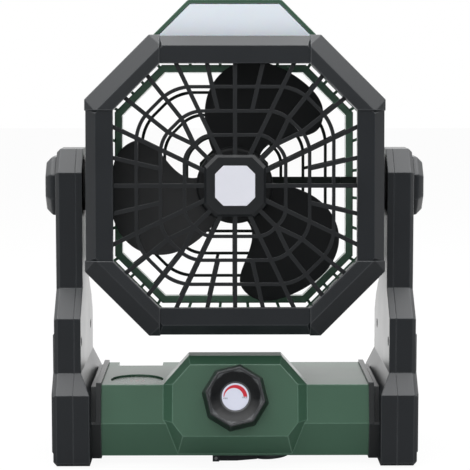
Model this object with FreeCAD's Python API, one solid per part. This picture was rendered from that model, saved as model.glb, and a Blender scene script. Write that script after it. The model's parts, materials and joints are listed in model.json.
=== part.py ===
"""Portable camping fan with a tilting square head, a light bar and a battery base.

Millimetres. X is to the right, the front faces -Y and Z is up. Everything is drawn with the tilt axle
over Y = 0, then moved along Y so that the origin is the middle of the whole fan's footprint.
"""
import FreeCAD, Part
import math
import os

V = FreeCAD.Vector

# General
WALL = 2.4            # moulded wall
FIT = 0.05            # radial clearance of a turning fit
GAP = 0.3             # gap between neighbours that move past each other

# Head, square with cut corners. A diagonal is the distance from the centre to a cut corner's edge.
SHELL_HALF = 93.0     # the head's width leads the other widths
SHELL_DIAGONAL = SHELL_HALF + 7.8
AXLE_Z = SHELL_HALF + 87.0   # the head swings clear of the panel
HEAD_TILT = 3.3
OPENING_HALF = SHELL_HALF - 13.9
OPENING_DIAGONAL = SHELL_DIAGONAL - 10.4
BEZEL_FLAT_HALF = SHELL_HALF - 2.5
BEZEL_FLAT_DIAGONAL = SHELL_DIAGONAL - 3.8
BEZEL_BEVEL = 6.7
BEZEL_FACE_Y = -46.0
BEZEL_DEPTH = 18.0
BEZEL_FRONT_WALL = 2.6
GUARD_PROUD = 1.0
GUARD_FLAT_DIAGONAL = BEZEL_FLAT_DIAGONAL + 0.9
GUARD_HALF = SHELL_HALF + 4.9
GUARD_DIAGONAL = SHELL_DIAGONAL + 8.0
GUARD_BEVEL = 7.4
SPIGOT_HALF = SHELL_HALF - 2.6
SPIGOT_DIAGONAL = SHELL_DIAGONAL - 4.1
SPIGOT_WALL = 1.8
SHELL_WALL = 3.4
SHELL_BACK_Y = 46.6

# Grille rings, front and rear alike
RING_HALVES = tuple(share * OPENING_HALF for share in (0.416, 0.612, 0.810))
RING_DIAGONALS = tuple(share * OPENING_DIAGONAL for share in (0.417, 0.613, 0.814))
RING_CORNER = 0.46    # corner radius as a share of the ring's half width
SPOKE_DIVISIONS = 7   # spokes in a quarter turn
FRONT_RIB = 2.2
FRONT_SPOKE = 2.8
GRILLE_DEPTH = 3.0
GRILLE_RIM_GAP = 0.2
HUB_HALF = 20.0
HUB_LEG = 7.4
HUB_PROUD = 1.6
BADGE_HALF = 13.0
BADGE_LEG = 5.4
BADGE_THICK = 1.4
REAR_OPENING_HALF = SHELL_HALF - 15.3
REAR_OPENING_DIAGONAL = SHELL_DIAGONAL - 12.0
REAR_BAND = 4.5
REAR_BAND_DEPTH = 6.0
REAR_RIB = 2.0
REAR_SPOKE = 2.2
REAR_DEPTH = 2.8
REAR_HUB_HALF = 24.0
REAR_HUB_LEG = 9.0
SLOT_INNER = 5.5      # slots start this far outside the rear opening
SLOT_WIDTH = 5.6
SLOT_WIDTH_DIAGONAL = 2.3
SLOT_BAR = 2.0
SLOT_BAR_ANGLES = (6.5, 20, 32.5, 42, 48, 57.5, 70, 83.5)
DUCT_HEIGHT = 5.4
DUCT_DEPTH = 3.6
DUCT_RISE = 2.5

# Light bar on top of the head
LAMP_TOP_HALF = 30.5
LAMP_TOP = SHELL_HALF + 28.7
LAMP_DEPTH = 46.0
LENS_THICK = 2.5
LENS_INSET = 3.0
LAMP_BOARD_THICK = 1.6
LAMP_SCREW_X = LAMP_TOP_HALF - 5.5

# Motor and blades
SHAFT_RADIUS = 1.5
MOTOR_RADIUS = 19.0
MOTOR_FRONT_Y = 14.0
MOTOR_CAP = 3.0
ROTOR_RADIUS = 15.0
FAN_HUB_RADIUS = 25.6
FAN_HUB_FRONT_Y = -15.0
FAN_HUB_DEPTH = 26.0
FAN_HUB_WALL = 2.5
BLADE_COUNT = 3
BLADE_THICK = 2.0
BLADE_MIDDLE_Y = -9.0
BLADE_TIP = SHELL_HALF - 9.0
BLADE_DIRECTION = 70.0
BLADE_PITCH_ROOT = 0.42
BLADE_PITCH_TIP = 0.24
BLADE_CAMBER = 4.0
BLADE_HALF_CHORD = 62.0
MOTOR_SCREW_CIRCLE = 12.0
MOTOR_SCREWS = 3

# Arms. The side outline is given in Y and Z.
ARM_INNER = SHELL_HALF + 7.6
ARM_OUTER = ARM_INNER + 17.6
ARM_SPLIT = ARM_INNER + 4.4
ARM_EDGE_BEVEL = 2.4
ARM_BACK_Y = 60.0
ARM_FRONT_Y = -60.0
ARM_POST_HALF = 27.0
ARM_TOP = AXLE_Z + 25.0
ARM_TOP_CHAMFER = 15.0
ARM_KNEE_Z = 113.5
FOOT_BOTTOM = 1.0
FOOT_INNER = ARM_INNER - 6.2
FOOT_TOP = 47.7
FOOT_SLOPE_TOP = 60.0
FOOT_MID_Y = -47.0
FOOT_MID_TOP = 96.0
FOOT_PANEL_PROUD = 1.2
FOOT_PANEL_TOP = 85.5
FOOT_PANEL_INSET = 6.0
PAD_LENGTH = 24.0
PAD_WIDTH = 15.0
PAD_HEIGHT = 3.0
PAD_OFFSET = 38.0
ARM_SCREW_PLACES = ((-40.0, 79.9), (40.0, 79.9), (0.0, 123.5))
ARM_SCREW_RADIUS = 1.5
ARM_SCREW_HEAD = 3.0
ARM_SCREW_SINK = 3.0
AXLE_BOSS_RADIUS = 9.0

# Tilt axle
BOLT_RADIUS = 4.0
HEAD_BOSS_RADIUS = 20.5
FRICTION_PAD_RADIUS = 17.0
FRICTION_PAD_THICK = 1.3
INSERT_RADIUS = 8.0
INSERT_THICK = 2.6
TILT_KNOB_HALF = 19.6
TILT_KNOB_FACE_HALF = 15.5
TILT_KNOB_THICK = 7.4
TILT_KNOB_GRIP = 3.2
TILT_KNOB_BOLT_DEPTH = 4.8
TILT_KNOB_GAP = 0.15

# Base
BASE_HALF = ARM_INNER - 13.1
BASE_BOTTOM = 5.4
BASE_TOP = 52.2
BASE_CREASE_Y = -51.8
BASE_CREASE_Z = 27.7
BASE_TOP_FRONT_Y = -45.2
BASE_BOTTOM_FRONT_Y = -46.6
BASE_BACK_Y = 42.8
BASE_BACK_CHAMFER = 2.5
COVER_GAP = 0.15
COLLAR_PROUD = 1.6
COLLAR_RIB = 3.4
COLLAR_RECESS = 3.0
FOOT_BOLT_Y = 22.0
FOOT_BOLT_Z = 29.5
FOOT_BOLT_RADIUS = 2.0
FOOT_BOLT_HEAD = 4.0
FOOT_BOLT_HEAD_THICK = 2.8
FOOT_BOSS_RADIUS = 5.0
FOOT_BOSS_LENGTH = 9.0
BASE_SCREW_X = BASE_HALF - 5.5
BASE_SCREW_YS = (-36.0, 8.0)
BASE_SCREW_RADIUS = 1.4
BASE_SCREW_HEAD = 2.8
BASE_SCREW_POST = 3.8
BASE_POST_TOP = 31.5
BUTTON_X = -BASE_HALF + 22.5
BUTTON_WELL_RADIUS = 17.5

# Sloping control panel. Its outline is given across X and up the slope from the panel's middle.
PANEL_TILT = 15.0
PANEL_Y = -54.0
PANEL_Z = 43.5
BLOCK_HALF = -BUTTON_X - BUTTON_WELL_RADIUS - 0.4
PANEL_TOP_HALF = BLOCK_HALF - 17.7
PANEL_HALF = BLOCK_HALF - 6.3
PANEL_BOTTOM_HALF = BLOCK_HALF - 13.1
PANEL_HALF_HEIGHT = 23.25
PANEL_SIDE_TOP = 10.4
PANEL_SIDE_BOTTOM = -14.5
BLOCK_TOP = 70.5
BLOCK_TOP_HALF = BLOCK_HALF - 16.6
BLOCK_BACK_Y = -26.0
BLOCK_REACH = 40.0

# Speed knob
KNOB_RISE = 1.6
KNOB_RADIUS = 22.2
KNOB_FACE_RADIUS = 19.5
KNOB_THICK = 14.0
KNOB_CLOCK = 9.0
KNOB_SIDES = 8
KNOB_RIM_RADIUS = 18.9
KNOB_RIM_STEP = 1.0
KNOB_DISH_RADIUS = 16.2
KNOB_DISH_DEPTH = 4.0
DISC_RADIUS = 8.9
DISC_THICK = 1.2
POT_SHAFT_RADIUS = 3.0
POT_RADIUS = 8.5
POT_THICK = 7.0
BOARD_THICK = 1.6
CONTROL_BOARD_HALF = BLOCK_HALF - 15.1
CONTROL_BOARD_HALF_HEIGHT = 16.0

# Lamp button
BUTTON_Y = -25.0
BUTTON_RADIUS = 16.9
BUTTON_SINK = 1.1
BUTTON_TRAVEL = 1.5
BUTTON_FLANGE = 18.2
BUTTON_SKIRT = 4.6
BUTTON_STEM_RADIUS = 2.5
BUTTON_STEM = 5.0
SWITCH_SIZE = 12.0
SWITCH_HEIGHT = 6.0
SWITCH_BOARD_POSTS = (BUTTON_X + 11.0, BUTTON_X - 7.0)
SWITCH_BOARD_POST_Y = -2.6
SWITCH_POST_RADIUS = 2.5

# Batteries
CELL_RADIUS = 9.25
CELL_LENGTH = 65.0
CELL_COUNT = 3
CELL_PITCH = 19.5
CELL_FIRST_Y = -13.0
HOLDER_WALL = 3.0

# Charge port in the notch at the rear left
NOTCH_LEFT = -BASE_HALF + 7.2
NOTCH_RIGHT = NOTCH_LEFT + 30.5
NOTCH_Y = 27.0
NOTCH_FLOOR = 25.5
SOCKET_WIDTH = 9.0
SOCKET_HEIGHT = 3.4
SOCKET_LENGTH = 8.0
SOCKET_Z = 33.1
CHARGE_BOARD_WIDTH = 20.0
CHARGE_BOARD_LENGTH = 18.0
PORT_COVER_WIDTH = 14.0
PORT_COVER_HEIGHT = 8.6
PORT_COVER_THICK = 1.6
PORT_PIN_RADIUS = 0.8
PORT_EAR = 1.6

# Hanging hook, folded flat under the base
HOOK_X = -12.6
HOOK_Z = 2.9
HOOK_Y = -36.2
HOOK_KNUCKLE = 2.2
HOOK_WIDTH = 12.0
HOOK_RING_X = 24.0
HOOK_RING_Y = HOOK_Y + 1.7
HOOK_RING_RADIUS = 11.5
HOOK_RING_WIDTH = 4.2
HOOK_TAPER_START = 1.2
HOOK_BOTTOM = 0.8
HOOK_TOP = 5.0
HOOK_TIP_BOTTOM = 3.8
HOOK_PIN_RADIUS = 1.0
HOOK_EAR = 1.8

# Sizes worked out from those above
BEZEL_HALF = BEZEL_FLAT_HALF + BEZEL_BEVEL
BEZEL_DIAGONAL = BEZEL_FLAT_DIAGONAL + BEZEL_BEVEL
BEZEL_BACK_Y = BEZEL_FACE_Y + BEZEL_DEPTH
GRILLE_FRONT_Y = BEZEL_FACE_Y + BEZEL_FRONT_WALL
GRILLE_BACK_Y = GRILLE_FRONT_Y + GRILLE_DEPTH
GRILLE_RIM_HALF = SPIGOT_HALF - SPIGOT_WALL - GRILLE_RIM_GAP
GRILLE_RIM_DIAGONAL = SPIGOT_DIAGONAL - SPIGOT_WALL - GRILLE_RIM_GAP
SHELL_INNER_HALF = SHELL_HALF - SHELL_WALL
SHELL_INNER_DIAGONAL = SHELL_DIAGONAL - SHELL_WALL
MOTOR_BACK_Y = SHELL_BACK_Y
REAR_BACK_Y = SHELL_BACK_Y + REAR_DEPTH
LAMP_FRONT_Y = BEZEL_BACK_Y
LAMP_BOTTOM_HALF = LAMP_TOP_HALF + LAMP_TOP - SHELL_HALF
BASE_INNER = BASE_HALF - WALL
BASE_CEILING = BASE_TOP - WALL
COVER_TOP = BASE_BOTTOM + WALL
BLOCK_SHOULDER = BASE_TOP

# --- Shares and small sizes that several pieces use ---
BLOCK_SPREAD = [0.563, 1.0, 0.794, 1.0, 0.794, 1.0, 0.563, 0.64]  # of BLOCK_REACH, side by side
BLOCK_BEVEL_SHARE = 0.6  # how much of an inset the sloping bevels take up
BLOCK_CORNER_SHARE = 0.4  # and how much the block's cut top corners do
SCREW_HEAD_DEPTH = 1.8
GRILLE_SCREW_HEAD = 2.2
GRILLE_SCREW_SHAFT = 1.2
MOTOR_SCREW_HEAD = 2.6
MOTOR_SCREW_SHAFT = 1.25
LAMP_SCREW_HEAD = 2.8
LAMP_SCREW_SHAFT = 1.5
LAMP_BOSS_RADIUS = 3.5
LAMP_ROUND = 4.0
LED_STEP = 9.0
LED_HALF = 1.4
FAN_BOSS_RADIUS = 4.5
FAN_HUB_ROUND = 2.5
BLADE_NUT_HALF = 4.2
ARM_POST_RADIUS = 4.5
ARM_SHOULDER_Z = 87.5
VENT_START = BASE_SCREW_X - 38.0
VENT_STEP = 6.0
VENT_WIDTH = 2.4
VENT_HALF_LENGTH = 20.0
PLAY = 0.2            # air between pieces that are slipped together


def polygon(points, place):
    """Flat face through outline points; place turns each pair into a corner."""
    corners = [place(a, b) for a, b in points]
    return Part.Face(Part.makePolygon(corners + corners[:1]))


def prism_x(points, near, far):
    """Solid with its outline in Y and Z, between two X planes."""
    return polygon(points, lambda y, z: V(near, y, z)).extrude(V(far - near, 0, 0))


def prism_y(points, front, back):
    """Solid with its outline in X and Z, between two Y planes."""
    return polygon(points, lambda x, z: V(x, front, z)).extrude(V(0, back - front, 0))


def block(left, right, front, back, low, high):
    return Part.makeBox(right - left, back - front, high - low, V(left, front, low))


def rod(radius, start, end):
    return Part.makeCylinder(radius, (end - start).Length, start, end - start)


def taper(points_a, points_b, place_a, place_b):
    """Solid between two outlines with as many corners."""
    wires = []
    for points, place in ((points_a, place_a), (points_b, place_b)):
        corners = [place(a, b) for a, b in points]
        wires.append(Part.makePolygon(corners + corners[:1]))
    return Part.makeLoft(wires, True, True)


def taper_y(points_a, front, points_b, back):
    return taper(points_a, points_b, lambda x, z: V(x, front, z), lambda x, z: V(x, back, z))


def fused(first, *others):
    return first.fuse(list(others)).removeSplitter()


def mirrored(shape):
    """The same piece on the other side of the fan."""
    return shape.mirror(V(0, 0, 0), V(1, 0, 0))


def both_sides(shape):
    return Part.makeCompound([shape, mirrored(shape)])


def cut_square(half, leg):
    """Square outline with its corners cut off, counter-clockwise."""
    inner = half - leg
    return [
        (half, -inner), (half, inner), (inner, half), (-inner, half),
        (-half, inner), (-half, -inner), (-inner, -half), (inner, -half),
    ]


def octagon(half, diagonal):
    return cut_square(half, 2 * half - math.sqrt(2) * diagonal)


def regular(radius, sides, clock):
    """Regular outline with a corner turned clockwise from the top by clock degrees."""
    angles = [math.radians(90 - clock + 360 * i / sides) for i in range(sides)]
    return [(radius * math.cos(a), radius * math.sin(a)) for a in angles]


def grown(points, offsets):
    """Counter-clockwise outline with each edge moved outwards by its own distance."""
    count = len(points)
    lines = []
    for i, (x, y) in enumerate(points):
        next_x, next_y = points[(i + 1) % count]
        length = math.hypot(next_x - x, next_y - y)
        nx = (next_y - y) / length
        ny = (x - next_x) / length
        lines.append((nx, ny, nx * x + ny * y + offsets[i]))
    corners = []
    for i in range(count):
        a1, b1, c1 = lines[i - 1]
        a2, b2, c2 = lines[i]
        cross = a1 * b2 - a2 * b1
        corners.append(((c1 * b2 - c2 * b1) / cross, (a1 * c2 - a2 * c1) / cross))
    return corners


def strut(start, end, width, front, back):
    """Flat bar in a grille from one X, Z point to another."""
    length = math.hypot(end[0] - start[0], end[1] - start[1])
    sx = (end[1] - start[1]) / length * width / 2
    sz = (start[0] - end[0]) / length * width / 2
    points = [
        (start[0] - sx, start[1] - sz), (start[0] + sx, start[1] + sz),
        (end[0] + sx, end[1] + sz), (end[0] - sx, end[1] - sz),
    ]
    return prism_y(points, front, back)


def clock_point(radius, degrees):
    """X and Z at an angle clockwise from straight up."""
    a = math.radians(degrees)
    return radius * math.sin(a), radius * math.cos(a)


def ring_radius(half, diagonal, degrees):
    """Distance from the centre to an octagon's edge within the first quarter turn."""
    a = math.radians(degrees)
    reach = [half / max(math.cos(a), 1e-6), half / max(math.sin(a), 1e-6)]
    reach.append(diagonal / math.cos(a - math.pi / 4))
    return min(reach)


def rounded_octagon(half, diagonal, radius, front, back):
    solid = prism_y(octagon(half, diagonal), front, back)
    upright = [e for e in solid.Edges if abs(e.tangentAt(e.FirstParameter).y) > 0.99]
    return solid.makeFillet(radius, upright)


def grille_ring(half, diagonal, width, front, back):
    radius = RING_CORNER * half
    outer = rounded_octagon(half + width / 2, diagonal + width / 2, radius, front, back)
    inner = rounded_octagon(half - width / 2, diagonal - width / 2, radius, front, back)
    return outer.cut(inner)


def grille_spokes(width, front, back):
    """Spokes of all four quarters, with forked ones across the cut corners."""
    step = 90 / SPOKE_DIVISIONS
    far = BEZEL_HALF * 1.2
    fork = ring_radius(RING_HALVES[0], RING_DIAGONALS[0], 45)
    runs = [((0, 0), clock_point(fork, 45))]
    for number in (0, 2, 5, 7):
        runs.append(((0, 0), clock_point(far, number * step)))
    for number in (1, 3, 4, 6):
        degrees = number * step
        start = clock_point(ring_radius(RING_HALVES[1], RING_DIAGONALS[1], degrees), degrees)
        runs.append((start, clock_point(far, degrees)))
        if number in (3, 4):
            runs.append((clock_point(fork, 45), start))
    bars = []
    for start, end in runs:
        for side_x in (1, -1):
            for side_z in (1, -1):
                a = (start[0] * side_x, start[1] * side_z)
                b = (end[0] * side_x, end[1] * side_z)
                bars.append(strut(a, b, width, front, back))
    return bars


def grille(rib, spoke, front, back, rim, opening, hub):
    """Octagonal grille: rim, three rings, spokes and a hub plate, each outline as half and diagonal."""
    limit = prism_y(octagon(*rim), front, back)
    spokes = grille_spokes(spoke, front, back)
    web = spokes[0].fuse(spokes[1:]).common(limit)
    pieces = [limit.cut(prism_y(octagon(*opening), front, back)), prism_y(hub, front, back)]
    for half, diagonal in zip(RING_HALVES, RING_DIAGONALS):
        pieces.append(grille_ring(half, diagonal, rib, front, back))
    return web.fuse(pieces).removeSplitter()


def front_bezel():
    bevel_y = BEZEL_FACE_Y + BEZEL_BEVEL
    outer = bezel_block()
    channel = prism_y(octagon(SPIGOT_HALF + 0.1, SPIGOT_DIAGONAL + 0.1), GRILLE_FRONT_Y, BEZEL_BACK_Y)
    opening = prism_y(octagon(OPENING_HALF, OPENING_DIAGONAL), BEZEL_FACE_Y, bevel_y)
    frame = outer.cut([channel, opening])
    return frame.cut(grille_screws())


def bezel_block():
    """The bezel's outside, with no opening."""
    flat = octagon(BEZEL_FLAT_HALF, BEZEL_FLAT_DIAGONAL)
    full = octagon(BEZEL_HALF, BEZEL_DIAGONAL)
    bevel_y = BEZEL_FACE_Y + BEZEL_BEVEL
    return fused(taper_y(flat, BEZEL_FACE_Y, full, bevel_y), prism_y(full, bevel_y, BEZEL_BACK_Y))


def corner_guard(side_x, side_z):
    """Proud bumper over one cut corner of the bezel."""
    face = BEZEL_FACE_Y - GUARD_PROUD
    bevel_y = face + GUARD_BEVEL
    flat = octagon(BEZEL_FLAT_HALF, GUARD_FLAT_DIAGONAL)
    full = octagon(GUARD_HALF, GUARD_DIAGONAL)
    skin = fused(taper_y(flat, face, full, bevel_y), prism_y(full, bevel_y, BEZEL_BACK_Y))
    edge = math.sqrt(2) * OPENING_DIAGONAL - OPENING_HALF
    far = GUARD_HALF + 1
    corner = [(OPENING_HALF, edge), (far, edge), (far, far), (edge, far), (edge, OPENING_HALF)]
    corner = [(x * side_x, z * side_z) for x, z in corner]
    return skin.common(prism_y(corner, face, BEZEL_BACK_Y)).cut(bezel_block())


def grille_screws():
    """Four screws from behind that hold the front grille's rim to the bezel."""
    reach = (OPENING_DIAGONAL + GRILLE_RIM_DIAGONAL) / 2
    screws = []
    for degrees in (45, 135, 225, 315):
        x, z = clock_point(reach, degrees)
        head = rod(GRILLE_SCREW_HEAD, V(x, GRILLE_BACK_Y, z), V(x, GRILLE_BACK_Y + SCREW_HEAD_DEPTH, z))
        shaft = rod(GRILLE_SCREW_SHAFT, V(x, GRILLE_FRONT_Y - 1.6, z), V(x, GRILLE_BACK_Y, z))
        screws.append(fused(head, shaft))
    return Part.makeCompound(screws)


def front_grille():
    rim = (GRILLE_RIM_HALF, GRILLE_RIM_DIAGONAL)
    opening = (OPENING_HALF, OPENING_DIAGONAL)
    hub = cut_square(HUB_HALF, HUB_LEG)
    net = grille(FRONT_RIB, FRONT_SPOKE, GRILLE_FRONT_Y, GRILLE_BACK_Y, rim, opening, hub)
    raised = cut_square(HUB_HALF - HUB_PROUD, HUB_LEG)
    boss = taper_y(raised, GRILLE_FRONT_Y - HUB_PROUD, hub, GRILLE_FRONT_Y)
    return fused(net, boss).cut([hub_badge(), grille_screws()])


def hub_badge():
    face = GRILLE_FRONT_Y - HUB_PROUD - 0.4
    return prism_y(cut_square(BADGE_HALF, BADGE_LEG), face, face + BADGE_THICK)


def rear_shell():
    """Square tube with cut corners, closed at the back by a rim with slots and a band."""
    outer = octagon(SHELL_HALF, SHELL_DIAGONAL)
    inner = octagon(SHELL_INNER_HALF, SHELL_INNER_DIAGONAL)
    rim_y = SHELL_BACK_Y - WALL
    tube = prism_y(outer, BEZEL_BACK_Y, SHELL_BACK_Y).cut(prism_y(inner, BEZEL_BACK_Y, rim_y))
    spigot_inner = octagon(SPIGOT_HALF - SPIGOT_WALL, SPIGOT_DIAGONAL - SPIGOT_WALL)
    spigot = prism_y(octagon(SPIGOT_HALF, SPIGOT_DIAGONAL), GRILLE_FRONT_Y, BEZEL_BACK_Y + 8)
    spigot = spigot.cut(prism_y(spigot_inner, GRILLE_FRONT_Y, BEZEL_BACK_Y + 8))
    opening = prism_y(octagon(REAR_OPENING_HALF, REAR_OPENING_DIAGONAL), BEZEL_BACK_Y, SHELL_BACK_Y)
    band = octagon(REAR_OPENING_HALF + REAR_BAND, REAR_OPENING_DIAGONAL + REAR_BAND)
    lip = prism_y(band, rim_y - REAR_BAND_DEPTH, rim_y)
    body = fused(tube, spigot, lip).cut([opening, rear_slots(rim_y)])
    holes = [axle_bore(BOLT_RADIUS + FIT)]
    holes.append(lamp_screws())
    return body.cut(holes)


def rear_slots(rim_y):
    """Ring of air slots outside the band, parted by short bars."""
    near = octagon(REAR_OPENING_HALF + SLOT_INNER, REAR_OPENING_DIAGONAL + SLOT_INNER)
    far_half = REAR_OPENING_HALF + SLOT_INNER + SLOT_WIDTH
    far_diagonal = REAR_OPENING_DIAGONAL + SLOT_INNER + SLOT_WIDTH_DIAGONAL
    far = octagon(far_half, far_diagonal)
    ring = prism_y(far, rim_y, SHELL_BACK_Y).cut(prism_y(near, rim_y, SHELL_BACK_Y))
    bars = []
    for quarter in range(4):
        for degrees in SLOT_BAR_ANGLES:
            turn = degrees + 90 * quarter
            end = clock_point(SHELL_HALF * 1.4, turn)
            bars.append(strut(clock_point(REAR_OPENING_HALF, turn), end, SLOT_BAR, rim_y, SHELL_BACK_Y))
    return ring.cut(bars)


def rear_grille():
    rim = (REAR_OPENING_HALF + REAR_BAND, REAR_OPENING_DIAGONAL + REAR_BAND)
    opening = (REAR_OPENING_HALF, REAR_OPENING_DIAGONAL)
    hub = cut_square(REAR_HUB_HALF, REAR_HUB_LEG)
    net = grille(REAR_RIB, REAR_SPOKE, SHELL_BACK_Y, REAR_BACK_Y, rim, opening, hub)
    return net.cut(motor_screws())


def wire_duct():
    """Channel for the motor wires from the hub to the right, in front of the band, to the shell's wall."""
    low = DUCT_RISE - DUCT_HEIGHT / 2
    high = DUCT_RISE + DUCT_HEIGHT / 2
    end = REAR_OPENING_HALF - PLAY
    band_y = SHELL_BACK_Y - WALL - REAR_BAND_DEPTH - PLAY
    run = block(MOTOR_RADIUS + 1, end, SHELL_BACK_Y - DUCT_DEPTH, SHELL_BACK_Y, low, high)
    riser = block(end - DUCT_DEPTH, end, band_y - DUCT_DEPTH, SHELL_BACK_Y, low, high)
    cross = block(end - DUCT_DEPTH, SHELL_INNER_HALF - PLAY, band_y - DUCT_DEPTH, band_y, low, high)
    return fused(run, riser, cross)


def motor_can():
    back = MOTOR_BACK_Y - MOTOR_CAP
    body = rod(MOTOR_RADIUS, V(0, MOTOR_FRONT_Y, 0), V(0, back, 0))
    hollow = rod(MOTOR_RADIUS - 1.5, V(0, MOTOR_FRONT_Y + 2, 0), V(0, back, 0))
    return body.cut([hollow, shaft_bore()])


def motor_end_cap():
    back = V(0, MOTOR_BACK_Y, 0)
    return rod(MOTOR_RADIUS, V(0, MOTOR_BACK_Y - MOTOR_CAP, 0), back).cut([shaft_bore(), motor_screws()])


def shaft_bore():
    """Running bore for the motor shaft, short of the motor's back face."""
    return rod(SHAFT_RADIUS + FIT, V(0, MOTOR_FRONT_Y - 1, 0), V(0, MOTOR_BACK_Y - 1, 0))


def motor_rotor():
    gap = 3.0
    back = MOTOR_BACK_Y - MOTOR_CAP - gap
    body = rod(ROTOR_RADIUS, V(0, MOTOR_FRONT_Y + gap + 1, 0), V(0, back, 0))
    return body.cut(motor_shaft())


def motor_shaft():
    return rod(SHAFT_RADIUS, V(0, FAN_HUB_FRONT_Y - 4, 0), V(0, MOTOR_BACK_Y - 1 - GAP, 0))


def motor_screws():
    screws = []
    for number in range(MOTOR_SCREWS):
        x, z = clock_point(MOTOR_SCREW_CIRCLE, 360 / MOTOR_SCREWS * number)
        head = rod(MOTOR_SCREW_HEAD, V(x, REAR_BACK_Y, z), V(x, REAR_BACK_Y + SCREW_HEAD_DEPTH, z))
        shaft = rod(MOTOR_SCREW_SHAFT, V(x, MOTOR_BACK_Y - MOTOR_CAP + 0.6, z), V(x, REAR_BACK_Y, z))
        screws.append(fused(head, shaft))
    return Part.makeCompound(screws)


def fan_blades():
    """Hub cup with three wide twisted blades, one moulding."""
    back = FAN_HUB_FRONT_Y + FAN_HUB_DEPTH
    hub = rod(FAN_HUB_RADIUS, V(0, FAN_HUB_FRONT_Y, 0), V(0, back, 0))
    hollow = rod(FAN_HUB_RADIUS - FAN_HUB_WALL, V(0, FAN_HUB_FRONT_Y + 3, 0), V(0, back, 0))
    boss = rod(FAN_BOSS_RADIUS, V(0, FAN_HUB_FRONT_Y, 0), V(0, back - 2, 0))
    front_edge = [e for e in hub.Edges if e.Curve.TypeId == "Part::GeomCircle" and e.Curve.Center.y < back]
    cup = hub.makeFillet(FAN_HUB_ROUND, front_edge)
    blades = []
    for number in range(BLADE_COUNT):
        turn = 360 / BLADE_COUNT * number
        blades.append(blade().rotate(V(0, 0, 0), V(0, 1, 0), turn))
    whole = cup.fuse(blades).cut(hollow).fuse(boss)
    return whole.cut(motor_shaft()).removeSplitter()


def blade():
    """One blade: a twisted sheet trimmed by its outline. The chord runs clockwise, seen from the front."""
    sections = []
    stations = 4
    for number in range(stations):
        share = number / (stations - 1)
        along = 8 + share * (BLADE_TIP + 4 - 8)
        pitch = BLADE_PITCH_ROOT + share * (BLADE_PITCH_TIP - BLADE_PITCH_ROOT)
        sections.append(blade_section(along, pitch))
    sheet = Part.makeLoft(sections, True, False)
    sheet.rotate(V(0, 0, 0), V(0, 1, 0), -BLADE_DIRECTION)
    return sheet.common(blade_outline())


def blade_section(along, pitch):
    """Curved strip across the blade at one distance from the axis, with +X outwards and +Z back round."""
    faces = []
    for side in (-0.5, 0.5):
        points = []
        for step in (-1, -0.5, 0, 0.5, 1):
            chord = step * BLADE_HALF_CHORD
            rise = BLADE_MIDDLE_Y + pitch * chord + BLADE_CAMBER * (1 - step * step)
            points.append(V(along, rise + side * BLADE_THICK, -chord))
        curve = Part.BSplineCurve()
        curve.interpolate(points)
        faces.append((curve.toShape(), points[0], points[-1]))
    low, low_start, low_end = faces[0]
    high, high_start, high_end = faces[1]
    ends = [Part.makeLine(low_end, high_end), Part.makeLine(high_start, low_start)]
    return Part.Wire(Part.__sortEdges__([low, ends[0], high, ends[1]]))


def blade_outline():
    """Blade's outline seen from the front, as a share of its reach and an angle from +X."""
    root = (FAN_HUB_RADIUS - 1.5) / BLADE_TIP
    rim = [
        (0.524, 116), (0.738, 107), (0.929, 93), (1.0, 78), (1.0, 65), (0.988, 54), (0.940, 41), (0.810, 33.5),
        (0.619, 38),
    ]
    points = []
    for share, degrees in [(root, 124)] + rim + [(root, 47)]:
        distance = share * BLADE_TIP
        a = math.radians(degrees)
        points.append(V(distance * math.cos(a), -45, distance * math.sin(a)))
    curve = Part.BSplineCurve()
    curve.interpolate(points)
    edge = Part.makeLine(points[-1], points[0])
    return Part.Face(Part.Wire([curve.toShape(), edge])).extrude(V(0, 65, 0))


def blade_nut():
    """Nut on the shaft in front of the blades' hub."""
    face = FAN_HUB_FRONT_Y - 4
    body = prism_y(regular(BLADE_NUT_HALF, 6, 0), face + 0.6, FAN_HUB_FRONT_Y)
    return body.cut(motor_shaft())


def lamp_outline(inset):
    """Light bar's front outline in X and Z, drawn in by inset."""
    points = [
        (-LAMP_BOTTOM_HALF, SHELL_HALF), (LAMP_BOTTOM_HALF, SHELL_HALF),
        (LAMP_TOP_HALF, LAMP_TOP), (-LAMP_TOP_HALF, LAMP_TOP),
    ]
    return grown(points, [-inset] * len(points))


def lamp_housing():
    back = LAMP_FRONT_Y + LAMP_DEPTH
    body = prism_y(lamp_outline(0), LAMP_FRONT_Y, back)
    rounded = [e for e in body.Edges if abs(e.tangentAt(e.FirstParameter).y) > 0.99]
    rounded = [e for e in rounded if e.CenterOfMass.z > LAMP_TOP - 1]
    body = body.makeFillet(LAMP_ROUND, rounded)
    hollow = prism_y(lamp_outline(WALL), LAMP_FRONT_Y, back - WALL)
    return body.cut([hollow, lamp_lens(), lamp_screws()]).fuse(lamp_bosses()).removeSplitter()


def lamp_bosses():
    bosses = []
    for x in (-LAMP_SCREW_X, LAMP_SCREW_X):
        low = V(x, 0, SHELL_HALF + WALL)
        bosses.append(rod(LAMP_BOSS_RADIUS, low, V(x, 0, SHELL_HALF + WALL + 6)))
    return Part.makeCompound(bosses).cut(lamp_screws())


def lamp_lens():
    """Pale window that fills the housing's open front."""
    outline = lamp_outline(LENS_INSET)
    front = prism_y(outline, LAMP_FRONT_Y, LAMP_FRONT_Y + LENS_THICK)
    flange = prism_y(lamp_outline(WALL), LAMP_FRONT_Y + 1, LAMP_FRONT_Y + LENS_THICK)
    return fused(front, flange)


def lamp_board():
    y = LAMP_FRONT_Y + LENS_THICK + 6
    board = prism_y(lamp_outline(WALL), y, y + LAMP_BOARD_THICK)
    chips = []
    for row, count in ((SHELL_HALF + 9, 9), (SHELL_HALF + 19, 7)):
        for number in range(count):
            x = (number - (count - 1) / 2) * LED_STEP
            chips.append(block(x - LED_HALF, x + LED_HALF, y - 0.8, y, row - LED_HALF, row + LED_HALF))
    return fused(board, *chips)


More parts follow.
